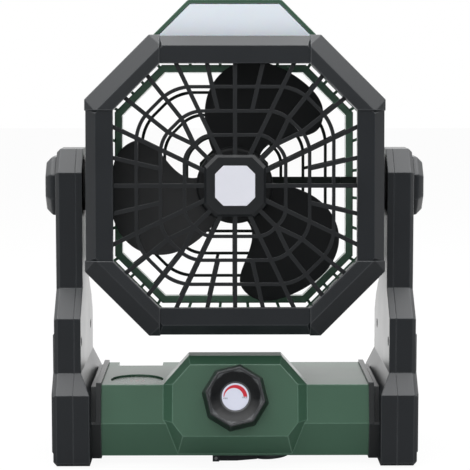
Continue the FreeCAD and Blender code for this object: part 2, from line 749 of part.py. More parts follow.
def lamp_screws():
    """Two screws up through the head shell into the light bar."""
    screws = []
    for x in (-LAMP_SCREW_X, LAMP_SCREW_X):
        head = rod(LAMP_SCREW_HEAD, V(x, 0, SHELL_INNER_HALF - 1.6), V(x, 0, SHELL_INNER_HALF))
        shaft = rod(LAMP_SCREW_SHAFT, V(x, 0, SHELL_INNER_HALF), V(x, 0, SHELL_HALF + WALL + 4))
        screws.append(fused(head, shaft))
    return Part.makeCompound(screws)


def axle_bore(radius):
    """Tilt axle's bore right across the fan."""
    return rod(radius, V(-ARM_OUTER - 1, 0, 0), V(ARM_OUTER + 1, 0, 0))


def head_boss():
    """Disc on the head's side that bears on the arm's friction pad."""
    outer = ARM_INNER - FRICTION_PAD_THICK - 0.1
    disc = rod(HEAD_BOSS_RADIUS, V(SHELL_HALF, 0, 0), V(outer, 0, 0))
    return disc.cut(axle_bore(BOLT_RADIUS + FIT))


def tilt_insert():
    """Threaded plate inside the head shell for the tilt bolt."""
    plate = rod(INSERT_RADIUS, V(SHELL_INNER_HALF - INSERT_THICK, 0, 0), V(SHELL_INNER_HALF, 0, 0))
    return plate.cut(axle_bore(BOLT_RADIUS + FIT))


def friction_pad():
    pad = rod(FRICTION_PAD_RADIUS, V(ARM_INNER - FRICTION_PAD_THICK, 0, AXLE_Z), V(ARM_INNER, 0, AXLE_Z))
    return pad.cut(raised(axle_bore(BOLT_RADIUS + FIT)))


def tilt_bolt():
    start = V(SHELL_INNER_HALF - INSERT_THICK, 0, AXLE_Z)
    end = V(ARM_OUTER + TILT_KNOB_GAP + TILT_KNOB_BOLT_DEPTH, 0, AXLE_Z)
    return rod(BOLT_RADIUS, start, end)


def tilt_knob():
    """Eight-sided clamp knob outside the arm."""
    near = ARM_OUTER + TILT_KNOB_GAP
    grip = near + TILT_KNOB_GRIP
    face = near + TILT_KNOB_THICK
    side = TILT_KNOB_HALF * math.tan(math.pi / 8)
    full = cut_square(TILT_KNOB_HALF, TILT_KNOB_HALF - side)
    small = cut_square(TILT_KNOB_FACE_HALF, TILT_KNOB_FACE_HALF - TILT_KNOB_FACE_HALF * math.tan(math.pi / 8))
    body = prism_x([(y, AXLE_Z + z) for y, z in full], near, grip)
    top = taper(full, small, lambda y, z: V(grip, y, AXLE_Z + z), lambda y, z: V(face, y, AXLE_Z + z))
    return fused(body, top).cut(tilt_bolt())


def arm_outline():
    """Arm and foot from the side, in Y and Z, counter-clockwise."""
    chamfer_z = ARM_TOP - ARM_TOP_CHAMFER
    flat = ARM_POST_HALF - ARM_TOP_CHAMFER
    return [
        (ARM_FRONT_Y + 2, FOOT_BOTTOM), (ARM_BACK_Y - 2, FOOT_BOTTOM), (ARM_BACK_Y, FOOT_BOTTOM + 2),
        (ARM_BACK_Y, ARM_SHOULDER_Z), (ARM_BACK_Y - 10, ARM_SHOULDER_Z + 12), (ARM_POST_HALF, ARM_KNEE_Z + 2),
        (ARM_POST_HALF, chamfer_z), (flat, ARM_TOP), (-flat, ARM_TOP), (-ARM_POST_HALF, chamfer_z),
        (-ARM_POST_HALF, ARM_KNEE_Z), (FOOT_MID_Y, FOOT_MID_TOP), (FOOT_MID_Y, FOOT_SLOPE_TOP),
        (ARM_FRONT_Y, FOOT_TOP), (ARM_FRONT_Y, FOOT_BOTTOM + 2),
    ]


def drawn_in(points, inset):
    return grown(points, [-inset] * len(points))


def arm_outer_shell():
    outline = arm_outline()
    edge = ARM_OUTER - ARM_EDGE_BEVEL
    body = prism_x(outline, ARM_SPLIT, edge)
    face = drawn_in(outline, ARM_EDGE_BEVEL)
    bevel = taper(outline, face, lambda y, z: V(edge, y, z), lambda y, z: V(ARM_OUTER, y, z))
    hollow = prism_x(drawn_in(outline, WALL), ARM_SPLIT, ARM_OUTER - WALL)
    shell = fused(body, bevel).cut(hollow)
    posts = []
    for y, z in ARM_SCREW_PLACES:
        posts.append(rod(ARM_POST_RADIUS, V(ARM_SPLIT, y, z), V(ARM_OUTER - 1, y, z)))
    posts.append(rod(AXLE_BOSS_RADIUS, V(ARM_SPLIT, 0, AXLE_Z), V(ARM_OUTER - 1, 0, AXLE_Z)))
    shell = fused(shell, foot_panel(), *posts)
    return shell.cut([raised(axle_bore(BOLT_RADIUS + FIT)), arm_screws(), foot_pads()])


def foot_panel():
    """Raised field on the foot's outer face."""
    inset = FOOT_PANEL_INSET
    field = [
        (ARM_FRONT_Y + inset, 8), (ARM_BACK_Y - inset, 8), (ARM_BACK_Y - inset, FOOT_PANEL_TOP),
        (FOOT_MID_Y + inset, FOOT_PANEL_TOP), (FOOT_MID_Y + inset, FOOT_SLOPE_TOP),
        (ARM_FRONT_Y + inset, FOOT_TOP),
    ]
    face = drawn_in(field, FOOT_PANEL_PROUD)
    far = ARM_OUTER + FOOT_PANEL_PROUD
    base = prism_x(field, ARM_OUTER - 1, ARM_OUTER)
    top = taper(field, face, lambda y, z: V(ARM_OUTER, y, z), lambda y, z: V(far, y, z))
    return fused(base, top)


def foot_block(inset):
    """Foot's step towards the base, seen from the front, as a bar through the whole depth."""
    top = FOOT_TOP - inset
    slope = FOOT_SLOPE_TOP - inset
    points = [
        (FOOT_INNER + inset, FOOT_BOTTOM + inset), (ARM_SPLIT, FOOT_BOTTOM + inset), (ARM_SPLIT, slope),
        (ARM_INNER + inset, slope), (FOOT_INNER + inset, top),
    ]
    return prism_y(points, ARM_FRONT_Y + inset, ARM_BACK_Y - inset)


def arm_inner_shell():
    outline = arm_outline()
    inner = drawn_in(outline, WALL)
    body = prism_x(outline, ARM_INNER, ARM_SPLIT)
    step = foot_block(0).common(prism_x(outline, FOOT_INNER, ARM_SPLIT))
    hollow = prism_x(inner, ARM_INNER + WALL, ARM_SPLIT)
    step_hollow = foot_block(WALL).common(prism_x(inner, FOOT_INNER, ARM_SPLIT))
    shell = fused(body, step).cut([hollow, step_hollow])
    posts = []
    for y, z in ARM_SCREW_PLACES:
        posts.append(rod(ARM_POST_RADIUS, V(ARM_INNER + 1, y, z), V(ARM_SPLIT, y, z)))
    posts.append(rod(AXLE_BOSS_RADIUS, V(ARM_INNER + 1, 0, AXLE_Z), V(ARM_SPLIT, 0, AXLE_Z)))
    shell = fused(shell, *posts)
    cuts = [raised(axle_bore(BOLT_RADIUS + FIT)), arm_screws(), arm_screw_wells(), foot_pads(), foot_bolts()]
    return shell.cut(cuts)


def arm_screw_wells():
    """Round wells in the arm's inner face over the screw heads."""
    wells = []
    for y, z in ARM_SCREW_PLACES:
        end = V(ARM_INNER + ARM_SCREW_SINK, y, z)
        wells.append(rod(ARM_SCREW_HEAD + 0.3, V(ARM_INNER, y, z), end))
    return Part.makeCompound(wells)


def arm_screws():
    screws = []
    seat = ARM_INNER + ARM_SCREW_SINK
    for y, z in ARM_SCREW_PLACES:
        head = rod(ARM_SCREW_HEAD, V(seat - 2, y, z), V(seat, y, z))
        shaft = rod(ARM_SCREW_RADIUS, V(seat, y, z), V(ARM_OUTER - WALL - 1, y, z))
        screws.append(fused(head, shaft))
    return Part.makeCompound(screws)


def foot_pads():
    """Two rubber pads sunk into one foot."""
    middle = (FOOT_INNER + ARM_OUTER) / 2
    pads = []
    for y in (-PAD_OFFSET, PAD_OFFSET):
        left = middle - PAD_WIDTH / 2
        front = y - PAD_LENGTH / 2
        pads.append(block(left, left + PAD_WIDTH, front, front + PAD_LENGTH, 0, PAD_HEIGHT))
    return Part.makeCompound(pads)


def foot_bolts():
    """Two bolts that hold one foot and its collar to the base."""
    seat = FOOT_INNER + WALL
    bolts = []
    for y in (-FOOT_BOLT_Y, FOOT_BOLT_Y):
        head = rod(FOOT_BOLT_HEAD, V(seat, y, FOOT_BOLT_Z), V(seat + FOOT_BOLT_HEAD_THICK, y, FOOT_BOLT_Z))
        end = V(BASE_INNER - FOOT_BOSS_LENGTH + 1, y, FOOT_BOLT_Z)
        bolts.append(fused(head, rod(FOOT_BOLT_RADIUS, end, V(seat, y, FOOT_BOLT_Z))))
    return Part.makeCompound(bolts)


def base_outline():
    """Base rail from the side, in Y and Z, counter-clockwise from the bottom front."""
    c = BASE_BACK_CHAMFER
    return [
        (BASE_BOTTOM_FRONT_Y, BASE_BOTTOM), (BASE_BACK_Y - c, BASE_BOTTOM), (BASE_BACK_Y, BASE_BOTTOM + c),
        (BASE_BACK_Y, BASE_TOP - c), (BASE_BACK_Y - c, BASE_TOP), (BASE_TOP_FRONT_Y, BASE_TOP),
        (BASE_CREASE_Y, BASE_CREASE_Z),
    ]


def collar():
    """Ring between the base and a foot, with a drawn-in upper half beside the foot."""
    outline = base_outline()
    proud = grown(outline, [COLLAR_PROUD] * len(outline))
    rib = prism_x(proud, BASE_HALF, BASE_HALF + COLLAR_RIB)
    full = prism_x(proud, BASE_HALF + COLLAR_RIB, FOOT_INNER)
    small = prism_x(drawn_in(outline, COLLAR_RECESS - COLLAR_PROUD), BASE_HALF + COLLAR_RIB, FOOT_INNER)
    low = block(BASE_HALF, FOOT_INNER, ARM_FRONT_Y, ARM_BACK_Y, 0, BASE_CREASE_Z)
    return fused(rib, small, full.common(low)).cut(foot_bolts())


def on_panel(shape):
    """Moves a shape drawn over an upright panel at the origin onto the sloping panel."""
    moved = shape.copy()
    moved.rotate(V(0, 0, 0), V(1, 0, 0), -PANEL_TILT)
    moved.translate(V(0, PANEL_Y, PANEL_Z))
    return moved


def panel_outline():
    """Control panel in X and up its slope, counter-clockwise from the bottom left."""
    h = PANEL_HALF_HEIGHT
    right = [(PANEL_BOTTOM_HALF, -h), (PANEL_HALF, PANEL_SIDE_BOTTOM), (PANEL_HALF, PANEL_SIDE_TOP)]
    right.append((PANEL_TOP_HALF, h))
    left = [(-x, z) for x, z in reversed(right)]
    return right + left


def control_block(inset):
    """Bevelled block that carries the panel, drawn in by inset on all faces."""
    outline = drawn_in(panel_outline(), inset * BLOCK_BEVEL_SHARE)
    spread = [share * BLOCK_REACH for share in BLOCK_SPREAD]
    back = grown(outline, spread)
    front_y = inset
    wedge = on_panel(taper_y(outline, front_y, back, front_y + BLOCK_REACH))
    half = BLOCK_HALF - inset
    top = BLOCK_TOP - inset
    top_half = BLOCK_TOP_HALF - inset * BLOCK_CORNER_SHARE
    limit = [
        (-half, BASE_BOTTOM), (half, BASE_BOTTOM), (half, BLOCK_SHOULDER - inset * BLOCK_CORNER_SHARE),
        (top_half, top), (-top_half, top), (-half, BLOCK_SHOULDER - inset * BLOCK_CORNER_SHARE),
    ]
    return wedge.common(prism_y(limit, ARM_FRONT_Y - 20, BLOCK_BACK_Y - inset))


def base_housing():
    outline = base_outline()
    outer = prism_x(outline, -BASE_HALF, BASE_HALF)
    inset = [-WALL] * len(outline)
    inset[0] = 1.0
    hollow = prism_x(grown(outline, inset), -BASE_INNER, BASE_INNER)
    notch_wall = block(
        NOTCH_LEFT - WALL, NOTCH_RIGHT + WALL, NOTCH_Y - WALL, BASE_BACK_Y + 1, NOTCH_FLOOR - WALL, BASE_TOP + 1
    )
    hollow = hollow.cut(notch_wall)
    inner_block = control_block(WALL)
    shell = fused(outer, control_block(0)).cut(hollow).cut(inner_block)
    for side in (-1, 1):
        for y in (-FOOT_BOLT_Y, FOOT_BOLT_Y):
            start = V(side * (BASE_INNER - FOOT_BOSS_LENGTH), y, FOOT_BOLT_Z)
            shell = shell.fuse(rod(FOOT_BOSS_RADIUS, start, V(side * BASE_INNER, y, FOOT_BOLT_Z)))
        for y in BASE_SCREW_YS:
            low = V(side * BASE_SCREW_X, y, COVER_TOP)
            shell = shell.fuse(rod(BASE_SCREW_POST, low, V(side * BASE_SCREW_X, y, BASE_POST_TOP)))
    for x in SWITCH_BOARD_POSTS:
        low = V(x, SWITCH_BOARD_POST_Y, switch_board_top())
        shell = shell.fuse(rod(SWITCH_POST_RADIUS, low, V(x, SWITCH_BOARD_POST_Y, BASE_CEILING + 1)))
    notch = block(NOTCH_LEFT, NOTCH_RIGHT, NOTCH_Y, BASE_BACK_Y + 1, NOTCH_FLOOR, BASE_TOP + 1)
    well = rod(BUTTON_WELL_RADIUS, V(BUTTON_X, BUTTON_Y, BASE_CEILING - 1), V(BUTTON_X, BUTTON_Y, BASE_TOP + 1))
    knob_bore = on_panel(rod(POT_SHAFT_RADIUS + 0.5, V(0, -1, KNOB_RISE), V(0, WALL + 1, KNOB_RISE)))
    shell = shell.cut([notch, well, knob_bore, charge_socket(), both_sides(foot_bolts()), base_screws()])
    return shell.fuse(port_ears()).removeSplitter()


def port_ears():
    """Two ears on the notch's wall that carry the port cover's pin."""
    ears = []
    half = PORT_COVER_WIDTH / 2 + PLAY
    middle = (NOTCH_LEFT + NOTCH_RIGHT) / 2
    low = port_hinge_z() - 1.5
    for side in (-1, 1):
        near = middle + side * half
        far = near + side * PORT_EAR
        ears.append(block(min(near, far), max(near, far), NOTCH_Y, NOTCH_Y + 2.6, low, low + 3.0))
    pin = port_pin(PORT_PIN_RADIUS + FIT, 0.2)
    return Part.makeCompound(ears).cut(pin)


def port_hinge_z():
    return SOCKET_Z - PORT_COVER_HEIGHT / 2 + PORT_PIN_RADIUS


def port_pin(radius, extra):
    middle = (NOTCH_LEFT + NOTCH_RIGHT) / 2
    half = PORT_COVER_WIDTH / 2 + PLAY + PORT_EAR - 0.3 + extra
    y = NOTCH_Y + 1.3
    return rod(radius, V(middle - half, y, port_hinge_z()), V(middle + half, y, port_hinge_z()))


def port_cover():
    """Soft flap over the charge socket, on a thin pin at its lower edge."""
    middle = (NOTCH_LEFT + NOTCH_RIGHT) / 2
    half = PORT_COVER_WIDTH / 2
    low = port_hinge_z()
    front = NOTCH_Y + 1.3 - PORT_COVER_THICK / 2
    flap = block(middle - half, middle + half, front, front + PORT_COVER_THICK, low, low + PORT_COVER_HEIGHT)
    tab = block(middle - 3, middle + 3, front, front + PORT_COVER_THICK + 1.4, low + PORT_COVER_HEIGHT - 1.5,
                low + PORT_COVER_HEIGHT)
    return fused(flap, tab, port_pin(PORT_PIN_RADIUS, 0))


def charge_socket():
    middle = (NOTCH_LEFT + NOTCH_RIGHT) / 2
    half = SOCKET_WIDTH / 2
    tall = SOCKET_HEIGHT / 2
    body = block(middle - half, middle + half, NOTCH_Y - SOCKET_LENGTH, NOTCH_Y, SOCKET_Z - tall, SOCKET_Z + tall)
    rounded = [e for e in body.Edges if abs(e.tangentAt(e.FirstParameter).y) > 0.99]
    return body.makeFillet(tall * 0.9, rounded)


def charge_socket_shell():
    """Socket's metal shell with its tongue."""
    middle = (NOTCH_LEFT + NOTCH_RIGHT) / 2
    half = SOCKET_WIDTH / 2 - 0.4
    tall = SOCKET_HEIGHT / 2 - 0.4
    depth = SOCKET_LENGTH - 2
    mouth = block(middle - half, middle + half, NOTCH_Y - depth, NOTCH_Y, SOCKET_Z - tall, SOCKET_Z + tall)
    tongue = block(middle - half + 1, middle + half - 1, NOTCH_Y - depth, NOTCH_Y - 1, SOCKET_Z - 0.35, SOCKET_Z + 0.35)
    return charge_socket().cut(mouth).fuse(tongue)


def charge_board():
    """Small board behind the notch, under the socket."""
    middle = (NOTCH_LEFT + NOTCH_RIGHT) / 2
    top = SOCKET_Z - SOCKET_HEIGHT / 2
    half = CHARGE_BOARD_WIDTH / 2
    back = NOTCH_Y - WALL
    return block(middle - half, middle + half, back - CHARGE_BOARD_LENGTH, back, top - BOARD_THICK, top)


def base_cover():
    """Flat cover in the base's underside, with ears for the hook's pin."""
    front = BASE_BOTTOM_FRONT_Y + WALL * 1.25
    back = BASE_BACK_Y - BASE_BACK_CHAMFER - WALL * math.sqrt(2) - COVER_GAP
    half = BASE_INNER - COVER_GAP
    plate = block(-half, half, front, back, BASE_BOTTOM, COVER_TOP)
    ears = []
    for y in (HOOK_Y - HOOK_WIDTH / 2 - 0.2 - HOOK_EAR, HOOK_Y + HOOK_WIDTH / 2 + 0.2):
        left = HOOK_X - HOOK_KNUCKLE
        ears.append(block(left, left + 2 * HOOK_KNUCKLE, y, y + HOOK_EAR, HOOK_Z - HOOK_KNUCKLE, BASE_BOTTOM))
    return fused(plate, *ears).cut([base_screws(), hook_pin(), base_vents()])


def base_vents():
    """Row of slots under the control board."""
    slots = []
    for number in range(6):
        x = VENT_START + VENT_STEP * number
        slots.append(block(x, x + VENT_WIDTH, -VENT_HALF_LENGTH, VENT_HALF_LENGTH, BASE_BOTTOM - 1, COVER_TOP + 1))
    return Part.makeCompound(slots)


def base_screws():
    screws = []
    seat = BASE_BOTTOM + WALL / 2
    for x in (-BASE_SCREW_X, BASE_SCREW_X):
        for y in BASE_SCREW_YS:
            head = rod(BASE_SCREW_HEAD, V(x, y, BASE_BOTTOM), V(x, y, seat))
            screws.append(fused(head, rod(BASE_SCREW_RADIUS, V(x, y, seat), V(x, y, BASE_POST_TOP - 8))))
    return Part.makeCompound(screws)


def hook_pin():
    reach = HOOK_WIDTH / 2 + 0.2 + HOOK_EAR
    return rod(HOOK_PIN_RADIUS, V(HOOK_X, HOOK_Y - reach, HOOK_Z), V(HOOK_X, HOOK_Y + reach, HOOK_Z))


def hanging_hook():
    """Flat hook with a knuckle at its left end and an open ring at its right."""
    half = HOOK_WIDTH / 2
    knuckle = rod(HOOK_KNUCKLE, V(HOOK_X, HOOK_Y - half, HOOK_Z), V(HOOK_X, HOOK_Y + half, HOOK_Z))
    shank_end = HOOK_RING_X - HOOK_RING_RADIUS + 2
    shank = block(HOOK_X, shank_end, HOOK_Y - half, HOOK_Y + half, HOOK_BOTTOM, HOOK_TOP)
    centre = V(HOOK_RING_X, HOOK_RING_Y, HOOK_BOTTOM)
    top = V(HOOK_RING_X, HOOK_RING_Y, HOOK_TOP)
    ring = rod(HOOK_RING_RADIUS, centre, top).cut(rod(HOOK_RING_RADIUS - HOOK_RING_WIDTH, centre, top))
    mouth = block(HOOK_RING_X - 7, HOOK_RING_X + 1.5, HOOK_RING_Y + 3, HOOK_RING_Y + 20, 0, HOOK_TOP + 1)
    far = HOOK_RING_X + HOOK_RING_RADIUS
    under = [(HOOK_TAPER_START, 0), (far + 2, 0), (far + 2, HOOK_TIP_BOTTOM), (HOOK_TAPER_START, HOOK_BOTTOM)]
    wedge = prism_y(under, HOOK_Y - 30, HOOK_Y + 30)
    body = fused(knuckle, shank, ring).cut([mouth, wedge])
    bore = rod(HOOK_PIN_RADIUS + FIT, V(HOOK_X, HOOK_Y - 30, HOOK_Z), V(HOOK_X, HOOK_Y + 30, HOOK_Z))
    return body.cut(bore)


def speed_knob():
    """Eight-sided knob with a dished face, square to the sloping panel."""
    outline = [(x, z + KNOB_RISE) for x, z in regular(KNOB_RADIUS, KNOB_SIDES, KNOB_CLOCK)]
    face = [(x, z + KNOB_RISE) for x, z in regular(KNOB_FACE_RADIUS, KNOB_SIDES, KNOB_CLOCK)]
    front = -GAP - KNOB_THICK
    body = taper_y(face, front, outline, -GAP)
    floor = front + KNOB_RIM_STEP
    rim = [(x, z + KNOB_RISE) for x, z in regular(KNOB_RIM_RADIUS, KNOB_SIDES, KNOB_CLOCK)]
    inner = [(x, z + KNOB_RISE) for x, z in regular(KNOB_RIM_RADIUS - KNOB_RIM_STEP, KNOB_SIDES, KNOB_CLOCK)]
    axis = V(0, 1, 0)
    start = V(0, floor, KNOB_RISE)
    dish = Part.makeCone(KNOB_DISH_RADIUS, DISC_RADIUS + 0.2, KNOB_DISH_DEPTH - KNOB_RIM_STEP, start, axis)
    return on_panel(body.cut([taper_y(rim, front, inner, floor), dish, disc_blank(), shaft_blank()]))


def disc_blank():
    face = -GAP - KNOB_THICK + KNOB_DISH_DEPTH
    return rod(DISC_RADIUS, V(0, face, KNOB_RISE), V(0, face + DISC_THICK, KNOB_RISE))


def knob_disc():
    return on_panel(disc_blank())


def shaft_blank():
    start = V(0, -GAP - KNOB_THICK + KNOB_DISH_DEPTH + DISC_THICK + 1.5, KNOB_RISE)
    return rod(POT_SHAFT_RADIUS, start, V(0, WALL + POT_THICK - 1, KNOB_RISE))


def speed_shaft():
    return on_panel(shaft_blank())


def speed_control():
    """Potentiometer's body behind the panel."""
    body = rod(POT_RADIUS, V(0, WALL, KNOB_RISE), V(0, WALL + POT_THICK, KNOB_RISE))
    bore = rod(POT_SHAFT_RADIUS + FIT, V(0, WALL, KNOB_RISE), V(0, WALL + POT_THICK - 0.5, KNOB_RISE))
    return on_panel(body.cut(bore))


def control_board():
    near = WALL + POT_THICK
    h = CONTROL_BOARD_HALF_HEIGHT
    board = block(-CONTROL_BOARD_HALF, CONTROL_BOARD_HALF, near, near + BOARD_THICK, -h, h)
    side = CONTROL_BOARD_HALF - 4
    chips = [
        block(-side + 2, -side + 10, near - 1.6, near, -8, 0), block(side - 10, side - 4, near - 3.0, near, 2, 10)
    ]
    posts = [rod(2.2, V(x, WALL, z), V(x, near, z)) for x in (-side, side) for z in (-12, 12)]
    return on_panel(fused(board, *chips, *posts))


def button_face_z():
    return BASE_TOP - BUTTON_SINK


def switch_board_top():
    return button_face_z() - BUTTON_SKIRT - BUTTON_STEM - BUTTON_TRAVEL - 0.1 - SWITCH_HEIGHT


def lamp_button():
    """Round button in its well, with a stem towards the switch."""
    top = button_face_z()
    low = top - BUTTON_SKIRT
    cap = rod(BUTTON_RADIUS, V(BUTTON_X, BUTTON_Y, low), V(BUTTON_X, BUTTON_Y, top))
    flange_top = BASE_CEILING - 0.2
    flange = rod(BUTTON_FLANGE, V(BUTTON_X, BUTTON_Y, low), V(BUTTON_X, BUTTON_Y, flange_top))
    stem = rod(BUTTON_STEM_RADIUS, V(BUTTON_X, BUTTON_Y, low - BUTTON_STEM), V(BUTTON_X, BUTTON_Y, low))
    return fused(cap, flange, stem)


def lamp_switch():
    half = SWITCH_SIZE / 2
    low = switch_board_top()
    return block(
        BUTTON_X - half, BUTTON_X + half, BUTTON_Y - half, BUTTON_Y + half, low, low + SWITCH_HEIGHT
    )


def switch_board():
    top = switch_board_top()
    left = min(SWITCH_BOARD_POSTS) - 3
    right = max(SWITCH_BOARD_POSTS) + 3
    front = BUTTON_Y - SWITCH_SIZE / 2 - 1
    return block(left, right, front, SWITCH_BOARD_POST_Y + 3, top - BOARD_THICK, top)


def cell_centres():
    return [(CELL_FIRST_Y + CELL_PITCH * i, COVER_TOP + HOLDER_WALL + CELL_RADIUS) for i in range(CELL_COUNT)]


def battery_cells():
    cells = []
    half = CELL_LENGTH / 2
    for y, z in cell_centres():
        can = rod(CELL_RADIUS, V(-half, y, z), V(half - 1, y, z))
        tip = rod(3.0, V(half - 1, y, z), V(half, y, z))
        cells.append(fused(can, tip))
    return Part.makeCompound(cells)


def battery_holder():
    """Cradle under the cells with an end wall at each side."""
    half = CELL_LENGTH / 2
    rows = cell_centres()
    front = rows[0][0] - CELL_RADIUS - HOLDER_WALL
    back = rows[-1][0] + CELL_RADIUS + HOLDER_WALL
    middle = rows[0][1]
    body = block(-half - HOLDER_WALL, half + HOLDER_WALL, front, back, COVER_TOP, middle + 4)
    troughs = []
    for y, z in rows:
        troughs.append(rod(CELL_RADIUS, V(-half, y, z), V(half, y, z)))
    above = block(-half, half, rows[0][0] - CELL_RADIUS, rows[-1][0] + CELL_RADIUS, middle, middle + 5)
    return body.cut(troughs + [above])


def raised(shape):
    """Lifts a shape drawn round the axle to the axle's height."""
    moved = shape.copy()
    moved.translate(V(0, 0, AXLE_Z))
    return moved


def tilted(shape):
    """Places a head piece: leans it back about the axle and lifts it to the axle's height."""
    moved = shape.copy()
    moved.rotate(V(0, 0, 0), V(1, 0, 0), -HEAD_TILT)
    return raised(moved)


def head_pieces():
    pieces = {
        "front_bezel": front_bezel(),
        "front_grille": front_grille(),
        "grille_screws": grille_screws(),
        "hub_badge": hub_badge(),
        "rear_shell": rear_shell(),
        "rear_grille": rear_grille(),
        "wire_duct": wire_duct(),
        "motor_can": motor_can(),
        "motor_end_cap": motor_end_cap(),
        "motor_screws": motor_screws(),
        "motor_rotor": motor_rotor(),
        "motor_shaft": motor_shaft(),
        "fan_blades": fan_blades(),
        "blade_nut": blade_nut(),
        "lamp_housing": lamp_housing(),
        "lamp_lens": lamp_lens(),
        "lamp_board": lamp_board(),
        "lamp_screws": lamp_screws(),
        "right_head_boss": head_boss(),
        "left_head_boss": mirrored(head_boss()),
        "tilt_inserts": both_sides(tilt_insert()),
    }
    for side, side_x in (("left", -1), ("right", 1)):
        for level, side_z in (("lower", -1), ("upper", 1)):
            pieces[f"{level}_{side}_corner_guard"] = corner_guard(side_x, side_z)
    return {name: tilted(shape) for name, shape in pieces.items()}


def stand_pieces():
    pieces = {
        "base_housing": base_housing(),
        "base_cover": base_cover(),
        "base_screws": base_screws(),
        "battery_cells": battery_cells(),
        "battery_holder": battery_holder(),
        "speed_knob": speed_knob(),
        "knob_disc": knob_disc(),
        "speed_shaft": speed_shaft(),
        "speed_control": speed_control(),
        "control_board": control_board(),
        "lamp_button": lamp_button(),
        "lamp_switch": lamp_switch(),
        "switch_board": switch_board(),
        "charge_socket": charge_socket_shell(),
        "charge_board": charge_board(),
        "port_cover": port_cover(),
        "hanging_hook": hanging_hook(),
        "hook_pin": hook_pin(),
        "foot_pads": both_sides(foot_pads()),
        "foot_bolts": both_sides(foot_bolts()),
        "arm_screws": both_sides(arm_screws()),
        "friction_pads": both_sides(friction_pad()),
    }
    paired = {
        "collar": collar(),
        "arm_outer_shell": arm_outer_shell(),
        "arm_inner_shell": arm_inner_shell(),
        "tilt_knob": tilt_knob(),
        "tilt_bolt": tilt_bolt(),
    }
    for name, shape in paired.items():
        pieces["right_" + name] = shape
        pieces["left_" + name] = mirrored(shape)
    return pieces


def main():
    os.makedirs("parts", exist_ok=True)
    pieces = {**head_pieces(), **stand_pieces()}
    box = Part.makeCompound(list(pieces.values())).optimalBoundingBox(True)
    shift = -(box.YMin + box.YMax) / 2
    for name, shape in pieces.items():
        placed = shape.copy()
        placed.translate(V(0, shift, 0))
        placed.exportStep(f"parts/{name}.step")
        print(name, "solids", len(placed.Solids), "valid", placed.isValid(), "volume", round(placed.Volume, 1))
    print("tilt axle at Y", round(shift, 4), "Z", AXLE_Z, "size", box.XLength, box.YLength, box.ZLength)


main()
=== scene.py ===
# %% [markdown]
# # A portable camping fan, dressed for its photograph
#
# The fan was first drawn as solid parts, and this script dresses those parts. It loads them as a fixed
# frame, rounds the edges that a mould would round, adds the small prints and marks, and gives each
# surface its finish. One unit is one metre. +X is to the fan's left as it faces us, so to our right,
# -Y is towards the camera, and +Z is up. The speed knob's joint tells where its sloping dial lies.

# %% Load the frame
import json
import math

import bmesh
import bpy
from mathutils import Matrix, Vector

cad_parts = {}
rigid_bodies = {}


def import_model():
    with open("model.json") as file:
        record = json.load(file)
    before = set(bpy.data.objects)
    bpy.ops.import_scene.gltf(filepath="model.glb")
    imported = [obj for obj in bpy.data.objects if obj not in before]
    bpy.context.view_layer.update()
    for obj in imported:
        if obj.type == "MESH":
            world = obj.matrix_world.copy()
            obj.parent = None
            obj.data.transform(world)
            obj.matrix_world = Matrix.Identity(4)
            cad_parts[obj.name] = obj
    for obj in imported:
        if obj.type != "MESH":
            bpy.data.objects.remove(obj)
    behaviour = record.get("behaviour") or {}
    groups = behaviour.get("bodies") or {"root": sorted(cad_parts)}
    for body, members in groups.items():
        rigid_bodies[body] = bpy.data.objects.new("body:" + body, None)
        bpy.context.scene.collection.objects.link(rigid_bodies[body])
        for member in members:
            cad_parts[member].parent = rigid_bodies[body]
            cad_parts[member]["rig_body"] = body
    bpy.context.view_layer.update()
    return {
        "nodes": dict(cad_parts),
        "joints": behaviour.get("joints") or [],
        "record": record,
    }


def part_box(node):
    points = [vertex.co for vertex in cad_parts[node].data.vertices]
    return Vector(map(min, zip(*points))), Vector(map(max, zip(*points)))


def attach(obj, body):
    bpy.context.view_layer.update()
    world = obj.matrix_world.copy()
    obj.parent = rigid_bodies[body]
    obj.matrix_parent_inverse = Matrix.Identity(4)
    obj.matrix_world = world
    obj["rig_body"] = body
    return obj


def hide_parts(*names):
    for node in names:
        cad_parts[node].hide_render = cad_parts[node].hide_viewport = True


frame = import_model()
nodes = frame["nodes"]
scene = bpy.context.scene
print("pieces in the frame:", len(nodes))

MM = 0.001
RIGHT, BACK = Vector((1, 0, 0)), Vector((0, 1, 0))
knob_joint = next(joint for joint in frame["joints"] if joint["name"] == "speed_turn")
KNOB_CENTRE = Vector(knob_joint["pos_m"])
KNOB_AXIS = Vector(knob_joint["axis"]).normalized()
DIAL_UP = RIGHT.cross(KNOB_AXIS)
print("up on the dial:", [round(c, 4) for c in DIAL_UP])

# %% [markdown]
# ## The camera
#
# A catalogue photographer stands well back with a long lens, so that the grille stays square and the
# depth is calm. The lens is 131 mm on a 36 mm sensor, about 1.1 m in front of the fan. It stands above
# the fan's middle and looks 5.7 degrees down, which shows the top face of the base. We aim the camera
# by turning it, and leave its shift alone.

# %% Place the camera
FRAME_PIXELS = 470
FOCAL_PIXELS = 1711
SENSOR_MM = 36
LOOK_DOWN = math.radians(5.66)
LOOK_RIGHT = math.radians(0.52)
CAMERA_PLACE = (-0.0101, -1.1438, 0.2601)
NEAREST, FARTHEST = 0.05, 50

